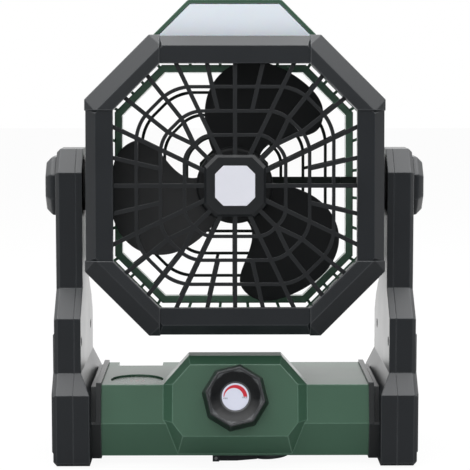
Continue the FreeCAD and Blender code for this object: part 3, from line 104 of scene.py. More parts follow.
camera = bpy.data.objects.new("camera", bpy.data.cameras.new("camera"))
scene.collection.objects.link(camera)
camera.data.sensor_width = SENSOR_MM
camera.data.lens = SENSOR_MM * FOCAL_PIXELS / FRAME_PIXELS
camera.data.clip_start, camera.data.clip_end = NEAREST, FARTHEST
camera.location = CAMERA_PLACE
level = math.cos(LOOK_DOWN)
ahead = Vector((math.sin(LOOK_RIGHT) * level, math.cos(LOOK_RIGHT) * level, -math.sin(LOOK_DOWN)))
camera.rotation_euler = ahead.to_track_quat("-Z", "Y").to_euler()
scene.camera = camera
scene.view_settings.view_transform = "Standard"
print("lens, mm:", round(camera.data.lens, 1))

# %% [markdown]
# ## Sums on shader sockets
#
# A finish is a little formula: so much of this colour where a mask is high, so much of that one where it
# is low. Blender can hold such a formula as Math nodes, but wiring them by hand hides the sum. The class
# below wraps an output socket and lets us write the sum itself. Its reflected forms make 1 - mask work
# as well. Two short words, above and below, make the masks that fade in over a small distance.

# %% A wire that sums can be written on
class Wire:
    """One output of a shader node. A sum on it adds Math nodes to the same tree."""

    def __init__(self, paint, socket):
        self.paint, self.socket = paint, socket

    def math(self, operation, *values):
        return self.paint.add("ShaderNodeMath", {"operation": operation}, dict(enumerate(values)))

    def __add__(self, other):
        return self.math("ADD", self, other)

    def __radd__(self, other):
        return self.math("ADD", other, self)

    def __sub__(self, other):
        return self.math("SUBTRACT", self, other)

    def __rsub__(self, other):
        return self.math("SUBTRACT", other, self)

    def __mul__(self, other):
        return self.math("MULTIPLY", self, other)

    def __rmul__(self, other):
        return self.math("MULTIPLY", other, self)

    def __abs__(self):
        return self.math("ABSOLUTE", self)

    def root(self):
        return self.math("SQRT", self)

    def sine(self):
        return self.math("SINE", self)

    def clamp(self):
        floored = self.math("MAXIMUM", self, 0.0)
        return floored.math("MINIMUM", floored, 1.0)

    def above(self, start, steep):
        """0 up to start, and from there on a rise of steep per unit, up to 1."""
        return ((self - start) * steep).clamp()

    def below(self, end, steep):
        """0 beyond end, and on its near side a rise of steep per unit, up to 1."""
        return ((end - self) * steep).clamp()


# %% [markdown]
# ## A tree that nodes are added to
#
# Every other node goes in by one method, which takes the node's type, its settings, and the values or
# links of its sockets. On top of it stand a few short methods for what the finishes use again and again:
# a noise, a relief, a mix of two colours. Colours go through a Mix node, because a Math node would turn
# them grey. The world is a tree of nodes too, so the same class makes it.

# %% Paint for surfaces and sky
NOISE_ROUGHNESS = 0.55


class Paint:
    """A material or a world being made: its tree, and one method that adds any node to it."""

    def __init__(self, name, family=bpy.data.materials):
        self.owner = family.new(name)
        self.owner.use_nodes = True
        self.tree = self.owner.node_tree
        self.tree.nodes.clear()

    def add(self, kind, settings=None, sockets=None, out=0):
        """Adds a node and gives one of its outputs, by name or by number."""
        made = self.tree.nodes.new(kind)
        for key, value in (settings or {}).items():
            setattr(made, key, value)
        for key, value in (sockets or {}).items():
            if isinstance(value, Wire):
                self.tree.links.new(value.socket, made.inputs[key])
            else:
                made.inputs[key].default_value = value
        return Wire(self, made.outputs[out]) if made.outputs else None

    def mix(self, mask, low, high):
        """The colour low where the mask is 0 and high where it is 1."""
        low, high = [c if isinstance(c, Wire) else (*c, 1) for c in (low, high)]
        # The node has a pair of inputs for each kind of value: 6, 7 and output 2 are those for colours.
        return self.add("ShaderNodeMix", {"data_type": "RGBA"}, {0: mask, 6: low, 7: high}, out=2)

    def cover(self, mask, low, high):
        """The shader low where the mask is 0 and high where it is 1."""
        return self.add("ShaderNodeMixShader", None, {0: mask, 1: low, 2: high})

    def vector(self, operation, first, second, out="Vector"):
        return self.add("ShaderNodeVectorMath", {"operation": operation}, {0: first, 1: second}, out)

    def axes(self, vector):
        return [self.add("ShaderNodeSeparateXYZ", None, {0: vector}, axis) for axis in "XYZ"]

    def place(self):
        """Where a point of the surface lies on the fan, in metres."""
        return self.add("ShaderNodeTexCoord", out="Object")

    def facing(self):
        """The way that the surface looks, as x, y and z."""
        return self.axes(self.add("ShaderNodeNewGeometry", out="Normal"))

    def reach(self, centre, direction):
        """How far a point of the surface lies from a centre along a direction, in millimetres."""
        away = self.vector("SUBTRACT", self.place(), tuple(centre))
        return self.vector("DOT_PRODUCT", away, tuple(direction), out="Value") * (1 / MM)

    def rays(self):
        """1 for rays from the camera, for reflected rays and for rays that passed a clear surface."""
        kinds = ("Is Camera Ray", "Is Glossy Ray", "Is Transmission Ray")
        return [self.add("ShaderNodeLightPath", out=kind) for kind in kinds]

    def noise(self, scale, detail=3.0):
        """Soft patches between 0 and 1, about as many in a metre as the scale says."""
        sockets = {"Vector": self.place(), "Scale": scale, "Detail": detail, "Roughness": NOISE_ROUGHNESS}
        return self.add("ShaderNodeTexNoise", None, sockets)

    def bump(self, height, strength, depth, normal=None):
        """A fine relief, its depth in millimetres, on the flat surface or on a softened normal."""
        sockets = {"Strength": strength, "Distance": depth * MM, "Height": height}
        if normal:
            sockets["Normal"] = normal
        return self.add("ShaderNodeBump", None, sockets)

    def finish(self, **sockets):
        """Ends the tree in a Principled shader. Socket names have _ for a space."""
        values = {key.replace("_", " "): value for key, value in sockets.items()}
        shader = self.add("ShaderNodeBsdfPrincipled", None, values)
        self.add("ShaderNodeOutputMaterial", None, {"Surface": shader})
        return self.owner


# %% [markdown]
# ## Moulded plastic
#
# Most of this fan is injection moulded ABS. Its steel mould is spark-eroded to a fine satin grain, so the
# real surface is even from afar and finely pebbled close up. Two noises make that: a coarse one shifts
# the colour and the gloss by a few percent, as a mould's flow does, and a fine one drives the bump. A
# Bevel node tells where an edge is near: its normal leans away from the flat normal there. That one
# mask paints a paler line along every edge, partly the wear of a handled edge and partly a painted
# highlight. Deep inside the head the green is painted paler, as painted light for the light that comes
# in from the open back, so a mask finds those faces.

# %% Masks and the recipe for a moulded plastic
GRAIN = 2400.0  # pebbles of the mould's grain, per metre
FLOW = 22.0  # slow shifts of colour, per metre
GRAIN_STRENGTH, GRAIN_DEPTH = 0.10, 0.08  # the depth is in millimetres
EDGE_SAMPLES, EDGE_GAIN = 4, 28.0  # with this gain a lean of 15 degrees gives nearly a full mask
INSIDE_BEHIND, INSIDE_ABOVE = 36 * MM, 80 * MM  # the head's inside starts here
INSIDE_STEEP = 500.0  # per metre, so the mask is full after 2 mm
FORWARD_END, FORWARD_STEEP = 0.2, 5.0  # full on every face that looks forward at all
PLASTIC_IOR = 1.5


def edge_mask(paint, radius):
    """1 on a sharp edge and 0 a radius away from it, with the softened normal that shows it."""
    soft = paint.add("ShaderNodeBevel", {"samples": EDGE_SAMPLES}, {"Radius": radius * MM})
    flat = paint.add("ShaderNodeNewGeometry", out="True Normal")
    cosine = paint.vector("DOT_PRODUCT", soft, flat, out="Value")
    return ((1 - cosine) * EDGE_GAIN).clamp(), soft


def painted_light_mask(paint):
    """1 on faces that look forward from deep inside the head, where a paler green is painted as the light
    from the open back.
    """
    _, y, z = paint.axes(paint.place())
    deep = y.above(INSIDE_BEHIND, INSIDE_STEEP) * z.above(INSIDE_ABOVE, INSIDE_STEEP)
    return deep * paint.facing()[1].below(FORWARD_END, FORWARD_STEEP)


def shades(colour, spread):
    """A colour a little darker and the same colour a little paler."""
    return [tuple(c * share for c in colour) for share in (1 - spread, 1 + spread)]


def moulded(name, colour, worn_and_highlit_edge, roughness, edge=0.9, painted_light_inside=None, shine=0.5):
    """A satin plastic, its edges a paler line of wear and painted highlight. Any pale colour given is
    painted light deep inside the head.
    """
    paint = Paint(name)
    flow, pebble = paint.noise(FLOW), paint.noise(GRAIN, detail=2.0)
    edges, soft = edge_mask(paint, edge)
    body = paint.mix(flow, *shades(colour, 0.14))
    # Painted light: a paler green on faces deep inside the head, standing in for the light from the open
    # back.
    if painted_light_inside:
        body = paint.mix(painted_light_mask(paint), body, painted_light_inside)
    # Painted highlight with some wear: a paler line along every edge.
    body = paint.mix(edges * (0.50 + 0.45 * flow), body, worn_and_highlit_edge)
    gloss = roughness - 0.06 + flow * 0.10 + pebble * 0.04 - edges * 0.08
    bump = paint.bump(pebble, GRAIN_STRENGTH, GRAIN_DEPTH, soft)
    return paint.finish(
        Base_Color=body, Roughness=gloss, Normal=bump, Specular_IOR_Level=shine, IOR=PLASTIC_IOR,
    )


# %% [markdown]
# ## The fan's own plastics
#
# Each shell has a body colour and the paler colour of its edge line, which is partly wear and partly a
# painted highlight. The charcoal shells, the guards, the ribs and the knob are all called black on such a
# fan, but they catch the light differently, so each has its own recipe. The green of the base comes back
# on its lamp button, so it has a name.

# %% Mix the plastics
# The green's paler edge line is partly wear and partly a painted highlight.
GREEN_BODY, GREEN_WORN_AND_HIGHLIT_EDGE = (0.0440, 0.1060, 0.0670), (0.200, 0.330, 0.255)
# Painted light: the green deep inside the head is painted paler than the body.
GREEN_PAINTED_LIGHT = (0.200, 0.360, 0.260)

# Each plastic's second colour is its paler edge line, partly wear and partly a painted highlight.
CHARCOAL = moulded("charcoal_plastic", (0.0125, 0.0150, 0.0180), (0.070, 0.076, 0.082), 0.36)
GUARD = moulded("guard_plastic", (0.0150, 0.0175, 0.0205), (0.110, 0.117, 0.124), 0.42)
GRILLE = moulded("grille_plastic", (0.0090, 0.0105, 0.0122), (0.034, 0.038, 0.042), 0.40, edge=0.4)
BLADE = moulded("blade_plastic", (0.0100, 0.0110, 0.0125), (0.030, 0.032, 0.035), 0.56)
KNOB = moulded("knob_plastic", (0.0070, 0.0078, 0.0088), (0.120, 0.126, 0.132), 0.30, shine=0.28)
GREEN = moulded("green_plastic", GREEN_BODY, GREEN_WORN_AND_HIGHLIT_EDGE, 0.30, painted_light_inside=GREEN_PAINTED_LIGHT)
DARK_GREEN = moulded("dark_green_plastic", (0.0120, 0.0200, 0.0160), (0.036, 0.054, 0.044), 0.42)
COLLAR = moulded("collar_plastic", (0.0100, 0.0118, 0.0130), (0.060, 0.068, 0.072), 0.34)
COMPONENT = moulded("component_plastic", (0.022, 0.022, 0.023), (0.06, 0.06, 0.06), 0.38)
for plastic in (CHARCOAL, GUARD, GRILLE, BLADE, KNOB, GREEN, DARK_GREEN, COLLAR, COMPONENT):
    print(plastic.name, "has", len(plastic.node_tree.nodes), "nodes")

# %% [markdown]
# ## Rubber, metal, boards and cells
#
# The soft parts are matt and a little dusty. The screws and bolts are zinc plated, which is a bluish,
# slightly cloudy metal with fine drawing lines. The boards are green with a weave below the lacquer, and
# the cells wear a glossy printed sleeve. These are mostly out of sight, but the part is looked at from
# below and behind as well, so each gets a finish of its own.

# %% The remaining finishes
WEAVE = 5200.0  # radians per metre, so a thread every 1.2 mm


def rubber():
    paint = Paint("rubber")
    dust, pebble = paint.noise(60.0), paint.noise(3200.0)
    body = paint.mix(dust, (0.016, 0.016, 0.017), (0.032, 0.032, 0.033))
    bump = paint.bump(pebble, strength=0.25, depth=0.1)
    return paint.finish(Base_Color=body, Roughness=0.72 + dust * 0.15, Normal=bump)


def plated_steel():
    paint = Paint("plated_steel")
    cloud, scratch = paint.noise(140.0), paint.noise(1800.0, detail=1.0)
    body = paint.mix(cloud, (0.46, 0.47, 0.48), (0.62, 0.62, 0.62))
    bump = paint.bump(scratch, strength=0.15, depth=0.05)
    return paint.finish(Base_Color=body, Metallic=1.0, Roughness=0.26 + scratch * 0.16, Normal=bump)


def circuit_board():
    paint = Paint("circuit_board")
    x, _, z = paint.axes(paint.place())
    weave = (x * WEAVE).sine() * (z * WEAVE).sine() * 0.5 + 0.5
    cloudy = weave * 0.5 + paint.noise(90.0) * 0.5
    body = paint.mix(cloudy, (0.012, 0.075, 0.034), (0.022, 0.130, 0.058))
    return paint.finish(Base_Color=body, Roughness=0.28 + weave * 0.12, Coat_Weight=0.4)


def cell_wrap():
    paint = Paint("cell_wrap")
    flow, pebble = paint.noise(35.0), paint.noise(900.0)
    body = paint.mix(flow, (0.030, 0.090, 0.300), (0.045, 0.125, 0.400))
    return paint.finish(Base_Color=body, Roughness=0.22 + pebble * 0.10, Coat_Weight=0.3)


RUBBER, STEEL, BOARD, WRAP = rubber(), plated_steel(), circuit_board(), cell_wrap()
print("also made:", RUBBER.name, STEEL.name, BOARD.name, WRAP.name)

# %% [markdown]
# ## The lamp's window
#
# The window on top of the head is a frosted diffuser over a row of small lamps, which are off. Frosted
# acrylic is nearly white with a cold cast, and light enters it and comes out again close by. We use a
# Principled shader with subsurface scatter and a satin surface, because real refraction would cost
# much more time and show the same thing. The white plates are the same idea without the scatter.

# %% Frosted window and white plates
ACRYLIC_IOR = 1.49


def frosted_window():
    paint = Paint("frosted_window")
    flow, pebble = paint.noise(30.0), paint.noise(1500.0, detail=2.0)
    body = paint.mix(flow, (0.80, 0.86, 0.95), (0.84, 0.90, 0.97))
    bump = paint.bump(pebble, strength=0.08, depth=0.08)
    return paint.finish(
        Base_Color=body, Roughness=0.30 + pebble * 0.12, Normal=bump, IOR=ACRYLIC_IOR,
        Subsurface_Weight=0.15, Subsurface_Scale=2 * MM,
    )


def white_plate():
    paint = Paint("white_plate")
    flow, pebble = paint.noise(45.0), paint.noise(2000.0, detail=2.0)
    body = paint.mix(flow, (0.72, 0.73, 0.80), (0.78, 0.79, 0.86))
    bump = paint.bump(pebble, strength=0.04, depth=0.05)
    return paint.finish(Base_Color=body, Roughness=0.34 + pebble * 0.08, Normal=bump)


WINDOW, PLATE = frosted_window(), white_plate()
print("also made:", WINDOW.name, PLATE.name)

# %% [markdown]
# ## The speed dial's print
#
# The dial carries a crescent that grows from a hair on the left to a thick end on the right, like a
# volume mark, with two tiny words under it. The crescent is a mask on the disc's own plane: two circles
# with slightly different centres leave exactly such a moon between them, so no picture is needed.

# %% Dial face and ink
MOON_RADIUS, BITE_RADIUS, BITE_CENTRE = 7.7, 6.25, (-0.95, -0.55)  # millimetres on the dial
MOON_FOOT, FOOT_STEEP = -0.15, 4.0  # the height where the moon ends, and how fast it fades there
PRINT_STEEP = 8.0  # per millimetre: a print's edge is an eighth of a millimetre wide


def distance(across, up, centre=(0.0, 0.0)):
    """How far a point lies from a centre. All are in millimetres."""
    x, y = across - centre[0], up - centre[1]
    return (x * x + y * y).root()


def dial_face():
    paint = Paint("dial_face")
    across, up = [paint.reach(KNOB_CENTRE, direction) for direction in (RIGHT, DIAL_UP)]
    moon = distance(across, up).below(MOON_RADIUS, PRINT_STEEP)
    bite = distance(across, up, BITE_CENTRE).below(BITE_RADIUS, PRINT_STEEP)
    crescent = moon * (1 - bite) * up.above(MOON_FOOT, FOOT_STEEP)
    flow = paint.noise(45.0)
    body = paint.mix(flow, (0.69, 0.71, 0.84), (0.74, 0.76, 0.88))
    body = paint.mix(crescent, body, (0.56, 0.010, 0.028))
    return paint.finish(Base_Color=body, Roughness=0.30 + flow * 0.08 + crescent * 0.05)


def ink():
    paint = Paint("ink")
    flow = paint.noise(900.0)
    body = paint.mix(flow, (0.020, 0.016, 0.018), (0.040, 0.032, 0.034))
    return paint.finish(Base_Color=body, Roughness=0.5 + flow * 0.1)


DIAL, INK = dial_face(), ink()
print("the moon is", MOON_RADIUS * 2, "mm across")

# %% [markdown]
# ## The lamp button's mark
#
# The round button on the rail has a small printed sign of a lamp: a ring with a dot in it. Like the dial,
# it is a mask drawn with distances, laid over the same green plastic as the rest of the base. Only the
# faces that look up carry it.

# %% Button face
button_low, button_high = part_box("lamp_button")
BUTTON_CENTRE = (button_low + button_high) / 2
SIGN_RING, SIGN_HALF_LINE, SIGN_DOT = 4.4, 0.625, 1.7  # millimetres on the button
RING_STEEP, DOT_STEEP = 1.6, 2.0  # per millimetre
UPWARD_START, UPWARD_STEEP = 0.9, 20.0  # from here on a face counts as looking up


def button_face():
    paint = Paint("button_face")
    far = distance(*[paint.reach(BUTTON_CENTRE, direction) for direction in (RIGHT, BACK)])
    sign = abs(far - SIGN_RING).below(SIGN_HALF_LINE, RING_STEEP) + far.below(SIGN_DOT, DOT_STEEP)
    top = paint.facing()[2].above(UPWARD_START, UPWARD_STEEP)
    flow, pebble = paint.noise(FLOW), paint.noise(GRAIN, detail=2.0)
    edges, soft = edge_mask(paint, 0.8)
    body = paint.mix(flow, *shades(GREEN_BODY, 0.1))
    # Painted highlight with some wear: a paler line along the button's edges.
    body = paint.mix(edges * 0.6, body, GREEN_WORN_AND_HIGHLIT_EDGE)
    body = paint.mix(sign.clamp() * top, body, (0.30, 0.075, 0.080))
    bump = paint.bump(pebble, GRAIN_STRENGTH, GRAIN_DEPTH, soft)
    return paint.finish(Base_Color=body, Roughness=0.24 + flow * 0.06, Normal=bump)


BUTTON = button_face()
print("the button's middle:", [round(c, 4) for c in BUTTON_CENTRE])

# %% [markdown]
# ## Pieces and whom they belong to
#
# Every piece wears one material. A new piece also has to know which body it moves with and which solid it
# stands for, which is then hidden. Two small helpers do that for all of them.

# %% Give a piece its material and its place in the frame
def finished(piece, material):
    """Gives a piece its one material."""
    piece.data.materials.clear()
    piece.data.materials.append(material)
    for face in piece.data.polygons:
        face.material_index = 0
    return piece


def settled(piece, body, slot, *stood_for):
    """Ties a new piece to its body and hides the nodes that it stands for. Its slot is not used."""
    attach(piece, body)
    if stood_for:
        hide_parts(*stood_for)
    return piece


# %% [markdown]
# ## Rounded edges
#
# No moulded part leaves its mould with a knife edge, and it is the thin highlight along a rounded edge
# that tells the eye how hard and how shiny a thing is. The solids have crisp edges. For each shell that
# shows, we copy its mesh, merge the flat triangles, and let a Bevel modifier round every edge sharper
# than 25 degrees. The copy stands in for the solid. A bevel cuts outer corners back, so the copy never
# grows past the solid's box. The lathe below is for the dial's disc, which gets a mesh of its own.

# %% Helpers that round edges and turn profiles
SHARP, FLAT = math.radians(25), math.radians(0.8)
SAME_POINT = 1e-6
BEVEL_STEPS, LATHE_STEPS = 2, 64
EVEN_NORMALS = ("WEIGHTED_NORMAL", {"keep_sharp": True, "weight": 80})


def piece_from(mesh, name, material, modifiers=()):
    """A piece from a bmesh, with its modifiers applied and its flat faces kept flat."""
    data = bpy.data.meshes.new(name)
    mesh.to_mesh(data)
    mesh.free()
    for face in data.polygons:
        face.use_smooth = True
    piece = bpy.data.objects.new(name, data)
    scene.collection.objects.link(piece)
    for kind, settings in (*modifiers, EVEN_NORMALS):
        modifier = piece.modifiers.new(kind.lower(), kind)
        for key, value in settings.items():
            setattr(modifier, key, value)
    graph = bpy.context.evaluated_depsgraph_get()
    shaped = piece.evaluated_get(graph)
    final = bpy.data.meshes.new_from_object(shaped, preserve_all_data_layers=True, depsgraph=graph)
    piece.modifiers.clear()
    piece.data = final
    return finished(piece, material)


def rounded(node, material, slot, width):
    """A copy of a node with its edges rounded, standing for that node."""
    mesh = bmesh.new()
    mesh.from_mesh(nodes[node].data)
    bmesh.ops.remove_doubles(mesh, verts=mesh.verts, dist=SAME_POINT)
    bmesh.ops.dissolve_limit(mesh, angle_limit=FLAT, verts=mesh.verts, edges=mesh.edges)
    bevel = {"width": width, "segments": BEVEL_STEPS, "limit_method": "ANGLE", "angle_limit": SHARP}
    piece = piece_from(mesh, node + "_rounded", material, [("BEVEL", bevel)])
    return settled(piece, nodes[node]["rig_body"], slot, node)


def turned(name, profile, centre, axis, material):
    """A piece turned on a lathe: profile holds distances from and along the axis."""
    mesh = bmesh.new()
    steps = [mesh.verts.new((radius, 0, along)) for radius, along in profile]
    edges = [mesh.edges.new(pair) for pair in zip(steps, steps[1:])]
    bmesh.ops.spin(
        mesh, geom=steps + edges, cent=(0, 0, 0), axis=(0, 0, 1), angle=math.tau, steps=LATHE_STEPS,
        use_duplicate=False,
    )
    bmesh.ops.remove_doubles(mesh, verts=mesh.verts, dist=SAME_POINT)
    bmesh.ops.recalc_face_normals(mesh, faces=mesh.faces)
    stand = Matrix.Translation(centre) @ axis.to_track_quat("Z", "Y").to_matrix().to_4x4()
    bmesh.ops.transform(mesh, matrix=stand, verts=mesh.verts)
    return piece_from(mesh, name, material)


# %% [markdown]
# ## Which piece gets which finish
#
# The record gives every node a slot, and the first table says which finish a slot wears. The second
# names the few nodes that differ from their slot. The third says which nodes are copied with soft edges,
# and how wide, in millimetres. All the others keep their own mesh and only get the finish.

# %% Dress every node
FINISHES = {
    "black_plastic": CHARCOAL, "grille_plastic": GRILLE, "knob_plastic": KNOB, "blade_plastic": BLADE,
    "green_plastic": GREEN, "dark_green_plastic": DARK_GREEN, "lamp_window": WINDOW, "white_plate": PLATE,
    "rubber": RUBBER, "steel": STEEL, "circuit_board": BOARD, "component_black": COMPONENT,
    "cell_wrap": WRAP,
}
GUARDS = [f"{level}_{side}_corner_guard" for level in ("lower", "upper") for side in ("left", "right")]
SPECIAL = {
    "lamp_button": BUTTON, "knob_disc": DIAL, "left_collar": COLLAR, "right_collar": COLLAR,
    **dict.fromkeys(GUARDS, GUARD),
}
ROUNDINGS = {
    "front_bezel": 0.6, "base_housing": 0.6, "front_grille": 0.35, "lamp_button": 0.5, "lamp_lens": 1.0,
    "lamp_housing": 0.6, "hanging_hook": 0.6, "rear_shell": 0.5, "hub_badge": 0.4,
    **dict.fromkeys(GUARDS, 1.5),
}
for side in ("left", "right"):
    ROUNDINGS[side + "_collar"] = 0.4
    ROUNDINGS[side + "_tilt_knob"] = 0.8
    ROUNDINGS[side + "_arm_outer_shell"] = 0.6
    ROUNDINGS[side + "_arm_inner_shell"] = 0.4

slots = {part["node"]: part["material_slot"] for part in frame["record"]["subparts"]}
for name, cad in sorted(nodes.items()):
    material = SPECIAL.get(name, FINISHES[slots[name]])
    if name in ROUNDINGS:
        piece = rounded(name, material, slots[name], ROUNDINGS[name] * MM)
        print(name, "rounded:", len(piece.data.polygons), "faces")
    else:
        finished(cad, material)

# %% [markdown]
# ## The speed knob
#
# The knob is what the hand goes for, so it is worth its own mesh. Seen from the front it is an octagon,
# turned by nine degrees, that narrows towards its face. Its corners are soft, its rim is a thin octagonal
# ring, and inside that a dish runs down to the white disc. We describe it as a stack of closed rings. Each
# ring has the same number of points at nearly the same angles, so an octagon can pass into a circle
# without a seam, and the faces between two rings are plain four-sided ones. All its sizes are in
# millimetres until the points are made.

# %% Rings, and a stack of them
KNOB_CORNERS, KNOB_TURN = 8, math.radians(9)
HALF_CORNER = math.pi / KNOB_CORNERS
SOFT_STEPS, FLAT_STEPS = 6, 4  # round a soft corner, and along the flat to the next one


def between(start, end):
    """The points that cut a flat into even steps, without its two ends."""
    shares = [step / FLAT_STEPS for step in range(1, FLAT_STEPS)]
    return [tuple(a + (b - a) * share for a, b in zip(start, end)) for share in shares]


def octagon_ring(radius, fillet):
    """Points of an octagon with soft corners in the knob's own plane, as pairs across and up."""
    reach = radius - fillet / math.cos(HALF_CORNER)
    arcs = []
    for corner in range(KNOB_CORNERS):
        turn = math.pi / 2 - KNOB_TURN + math.tau * corner / KNOB_CORNERS
        x, y = reach * math.cos(turn), reach * math.sin(turn)
        angles = [turn + HALF_CORNER * (2 * step / SOFT_STEPS - 1) for step in range(SOFT_STEPS + 1)]
        arcs.append([(x + fillet * math.cos(t), y + fillet * math.sin(t)) for t in angles])
    ring = []
    for arc, after in zip(arcs, arcs[1:] + arcs[:1]):
        ring += arc + between(arc[-1], after[0])
    return ring


def circle_ring(radius):
    """A circle whose points lie at the angles of a typical octagon ring."""
    angles = [math.atan2(y, x) for x, y in octagon_ring(20.0, 2.0)]
    return [(radius * math.cos(t), radius * math.sin(t)) for t in angles]


def stacked(name, rings, origin, material):
    """A closed piece from (ring, height) pairs. Its first and last rings are filled."""
    mesh = bmesh.new()
    loops = []
    for ring, height in rings:
        base = origin - KNOB_AXIS * (height * MM)
        loops.append([mesh.verts.new(base + RIGHT * (x * MM) + DIAL_UP * (y * MM)) for x, y in ring])
    for low, high in zip(loops, loops[1:]):
        for i in range(len(low)):
            j = (i + 1) % len(low)
            mesh.faces.new((low[i], low[j], high[j], high[i]))
    mesh.faces.new(list(reversed(loops[0])))
    mesh.faces.new(loops[-1])
    bmesh.ops.recalc_face_normals(mesh, faces=mesh.faces)
    return piece_from(mesh, name, material)


# %% [markdown]
# ## The knob's outline, from back to dish
#
# Read as a cut through one corner, the knob starts with a small chamfer at its back and runs up a
# straight, leaning side to a quarter-round shoulder. It then falls over the thin rim and down the dish,
# which is steep at first and level where it meets the disc, as a sine is. The last ring is the floor of
# the well that holds the disc.

# %% Make the knob
KNOB_DEPTH, KNOB_BACK = 14.0, 0.3
BACK_RADIUS, FACE_RADIUS = 22.2, 19.5
CHAMFER, SIDE_FILLET = 0.5, 1.9
SHOULDER_RADIUS, SHOULDER_HEIGHT = 19.77, 12.9
SHOULDER_WIDE, SHOULDER_HIGH = 0.95, 1.05
DISH_TOP, DISH_FLOOR, DISH_STEPS = (16.2, 12.85), (9.0, 10.05), 7  # each pair is a radius and a height
WELL_RADIUS, WELL_HEIGHT = 8.95, 8.7
QUARTER = [math.pi / 8 * step for step in range(5)]


def side_radius(height):
    """How far out the corners are: the side narrows evenly from the back to the face."""
    return BACK_RADIUS - (BACK_RADIUS - FACE_RADIUS) * height / KNOB_DEPTH


# Each step of the outline is the corner's radius, its fillet and its height.
outline = [(side_radius(0) - CHAMFER, 1.6, 0), (side_radius(CHAMFER), 1.7, CHAMFER)]
outline += [(side_radius(height) - 0.02, SIDE_FILLET, height) for height in (4.5, 8.5, 12.2)]
for t in QUARTER:
    inward, upward = SHOULDER_WIDE * (1 - math.cos(t)), SHOULDER_HIGH * math.sin(t)
    outline.append((SHOULDER_RADIUS - inward, SIDE_FILLET, SHOULDER_HEIGHT + upward))
outline += [(18.45, 1.8, 13.9), (18.1, 1.8, 13.55), (17.7, 2.4, 13.05)]
knob_rings = [(octagon_ring(radius, fillet), height) for radius, fillet, height in outline]

for step in range(DISH_STEPS + 1):
    share = step / DISH_STEPS
    radius = DISH_TOP[0] + (DISH_FLOOR[0] - DISH_TOP[0]) * share
    height = DISH_TOP[1] + (DISH_FLOOR[1] - DISH_TOP[1]) * math.sin(share * math.pi / 2)
    knob_rings.append((circle_ring(radius), height))
knob_rings.append((circle_ring(WELL_RADIUS), WELL_HEIGHT))

knob = stacked("knob_body", knob_rings, KNOB_CENTRE - KNOB_AXIS * (KNOB_BACK * MM), KNOB)
settled(knob, "knob", "knob_plastic", "speed_knob")
print("knob faces:", len(knob.data.polygons))

# %% [markdown]
# ## The dial disc
#
# A white disc lies at the bottom of the knob's dish. It is punched from sheet, so its rim is slightly
# rolled over. We turn it on a lathe: a short profile, spun round the knob's own axis.

# %% Turn the disc
DISC_RADIUS, DISC_THICK, DISC_ROLL = 8.85 * MM, 1.2 * MM, 0.25 * MM
disc_low, disc_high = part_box("knob_disc")
disc_middle = (disc_low + disc_high) / 2
disc_back = disc_middle + KNOB_AXIS * DISC_THICK / 2
disc_face = disc_middle - KNOB_AXIS * DISC_THICK / 2
roll = [
    (DISC_RADIUS - DISC_ROLL * (1 - math.sin(t)), DISC_THICK - DISC_ROLL * (1 - math.cos(t)))
    for t in reversed(QUARTER)
]
profile = [(0, 0), (DISC_RADIUS, 0), *roll, (0, DISC_THICK)]
disc = turned("dial_disc", profile, disc_back, -KNOB_AXIS, DIAL)
settled(disc, "knob", "white_plate", "knob_disc")
print("disc face at", [round(c, 4) for c in disc_face])

# %% [markdown]
# ## The words on the dial
#
# The two tiny words are printed on the disc. We write them as Blender text of size 1.55 mm, which is
# more than its capitals are high, and make it thin raised ink. Letters from a picture would need an
# image file, and would blur close up.

# %% Print the words
INK_SIZE, INK_THICK = 1.55 * MM, 0.03 * MM
WORD_PLACES = {"MIN": (-6.4 * MM, -1.1 * MM), "MAX": (6.0 * MM, -0.6 * MM)}  # across and up on the dial


def printed_word(word, across, up):
    """Thin ink letters on the dial, centred at a place on its face."""
    text = bpy.data.curves.new("ink_" + word, "FONT")
    text.body, text.size, text.extrude = word, INK_SIZE, INK_THICK
    text.align_x, text.align_y = "CENTER", "CENTER"
    label = bpy.data.objects.new("ink_" + word, text)
    scene.collection.objects.link(label)
    turn = Matrix((RIGHT, DIAL_UP, -KNOB_AXIS)).transposed().to_4x4()
    label.matrix_world = Matrix.Translation(disc_face + RIGHT * across + DIAL_UP * up) @ turn
    bpy.context.view_layer.update()
    graph = bpy.context.evaluated_depsgraph_get()
    mesh = bpy.data.meshes.new_from_object(label.evaluated_get(graph))
    mesh.transform(label.matrix_world)
    bpy.data.objects.remove(label)
    letters = bpy.data.objects.new("ink_" + word, mesh)
    scene.collection.objects.link(letters)
    return settled(finished(letters, INK), "knob", "component_black")


for word, (across, up) in WORD_PLACES.items():
    letters = printed_word(word, across, up)
    print(letters.name, "faces:", len(letters.data.polygons))

# %% [markdown]
# ## The paper floor
#
# The photograph was taken in a white tent, on a ground of white paper that keeps the fan's own shadow.
# One plane can't be that paper and also give the fan its dark, calm sides, so the Light Path node tells
# the rays apart. To the camera the floor is white. To a reflection it is a dark card near the fan and a
# bright wall far behind it, as a photographer sets them up. From below it is clear, so that a view
# from there shows the underside of the base.

# %% Floor
FLOOR_SIDE = 12
WHITE = (1, 1, 1, 1)
PAPER, CARD = (0.86, 0.86, 0.86, 1), (0.02, 0.02, 0.02, 1)
PAPER_GLOW, WALL_GLOW = 1.04, 2.6
PAPER_SEEN, PAPER_MIRRORED = 0.90, 0.10  # how much of the white glow each kind of ray sees
WALL_FROM, WALL_STEEP = 0.10, 4.0  # the wall begins 0.10 m behind the origin and is full at 0.35 m
WALL_SHARE, CARD_SHARE = 0.7, 0.62

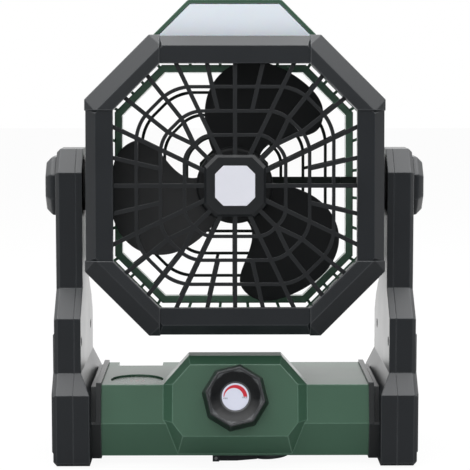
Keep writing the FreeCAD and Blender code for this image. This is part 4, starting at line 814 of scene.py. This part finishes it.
bpy.ops.mesh.primitive_plane_add(size=FLOOR_SIDE)
floor = bpy.context.object
floor.name = "floor"
paper = Paint("paper")
camera_ray, glossy_ray, clear_ray = paper.rays()
diffuse = paper.add("ShaderNodeBsdfDiffuse", None, {"Color": PAPER})
white = paper.add("ShaderNodeEmission", None, {"Color": WHITE, "Strength": PAPER_GLOW})
wall = paper.add("ShaderNodeEmission", None, {"Color": WHITE, "Strength": WALL_GLOW})
card = paper.add("ShaderNodeBsdfDiffuse", None, {"Color": CARD})
clear = paper.add("ShaderNodeBsdfTransparent")
seen = camera_ray * PAPER_SEEN + glossy_ray * PAPER_MIRRORED + clear_ray * PAPER_SEEN
far_back = paper.axes(paper.place())[1].above(WALL_FROM, WALL_STEEP)
ground = paper.cover(seen.clamp(), diffuse, white)
ground = paper.cover(glossy_ray * far_back * WALL_SHARE, ground, wall)
ground = paper.cover(glossy_ray * (1 - far_back) * CARD_SHARE, ground, card)
ground = paper.cover(paper.add("ShaderNodeNewGeometry", out="Backfacing"), ground, clear)
paper.add("ShaderNodeOutputMaterial", None, {"Surface": ground})
finished(floor, paper.owner)
print("floor side, m:", FLOOR_SIDE)

# %% [markdown]
# ## The sky of the tent
#
# The tent's cloth is white to the camera. What it adds to the light is less, so that dark plastic stays
# dark, and what it shows in a reflection grows towards the back and towards the top, which draws the
# pale sheen along the fan's upper edges. A World is the right place for it: it has no size and no place.

# %% World
BACK_RISE, BACK_START, BACK_GLOW = 1.4, 0.10, 1.08
TOP_RISE, TOP_START, TOP_GLOW = 2.6, -0.8, 2.2
LOWEST_GLOW, CLOTH_LIGHT = 0.03, 0.42

sky = Paint("tent", bpy.data.worlds)
scene.world = sky.owner
camera_ray, glossy_ray, clear_ray = sky.rays()
_, behind, overhead = sky.axes(sky.add("ShaderNodeTexCoord", out="Generated"))
back_glow = (behind * BACK_RISE + BACK_START).clamp() * BACK_GLOW
top_glow = (overhead * TOP_RISE + TOP_START).clamp() * TOP_GLOW
mirrored = back_glow + top_glow + LOWEST_GLOW
others = (1 - camera_ray - clear_ray - glossy_ray).clamp()
strength = camera_ray + clear_ray + glossy_ray * mirrored + others * CLOTH_LIGHT
backdrop = sky.add("ShaderNodeBackground", None, {"Color": WHITE, "Strength": strength})
sky.add("ShaderNodeOutputWorld", None, {"Surface": backdrop})
print("cloth's light:", CLOTH_LIGHT)

# %% [markdown]
# ## The lamps
#
# Three large soft boxes do the rest, and all of them point at the fan's middle. The big one above gives
# the top faces their light and the floor its soft shadow. The second stands in front, high on the left.
# The third only fills the front faces, and is hidden from reflections, so that it draws no square
# in the shiny dial and grilles.

# %% Soft boxes
LIT_PLACE = Vector((0, 0, 0.15))


def soft_box(name, place, size, power):
    """A rectangular lamp of so many metres across and so many watts."""
    lamp = bpy.data.lights.new(name, "AREA")
    lamp.shape, lamp.size, lamp.size_y, lamp.energy = "RECTANGLE", *size, power
    holder = bpy.data.objects.new(name, lamp)
    scene.collection.objects.link(holder)
    holder.location = place
    holder.rotation_euler = (LIT_PLACE - Vector(place)).to_track_quat("-Z", "Y").to_euler()
    return holder


top_box = soft_box("top_box", place=(0.0, 0.10, 1.30), size=(2.2, 1.6), power=17)
front_box = soft_box("front_box", place=(-0.80, -1.9, 1.75), size=(2.4, 1.6), power=9)
face_fill = soft_box("face_fill", place=(-0.40, -2.4, 0.50), size=(2.0, 1.2), power=12)
face_fill.visible_glossy = False
for lamp in (top_box, front_box, face_fill):
    print(lamp.name, lamp.data.energy, "W")
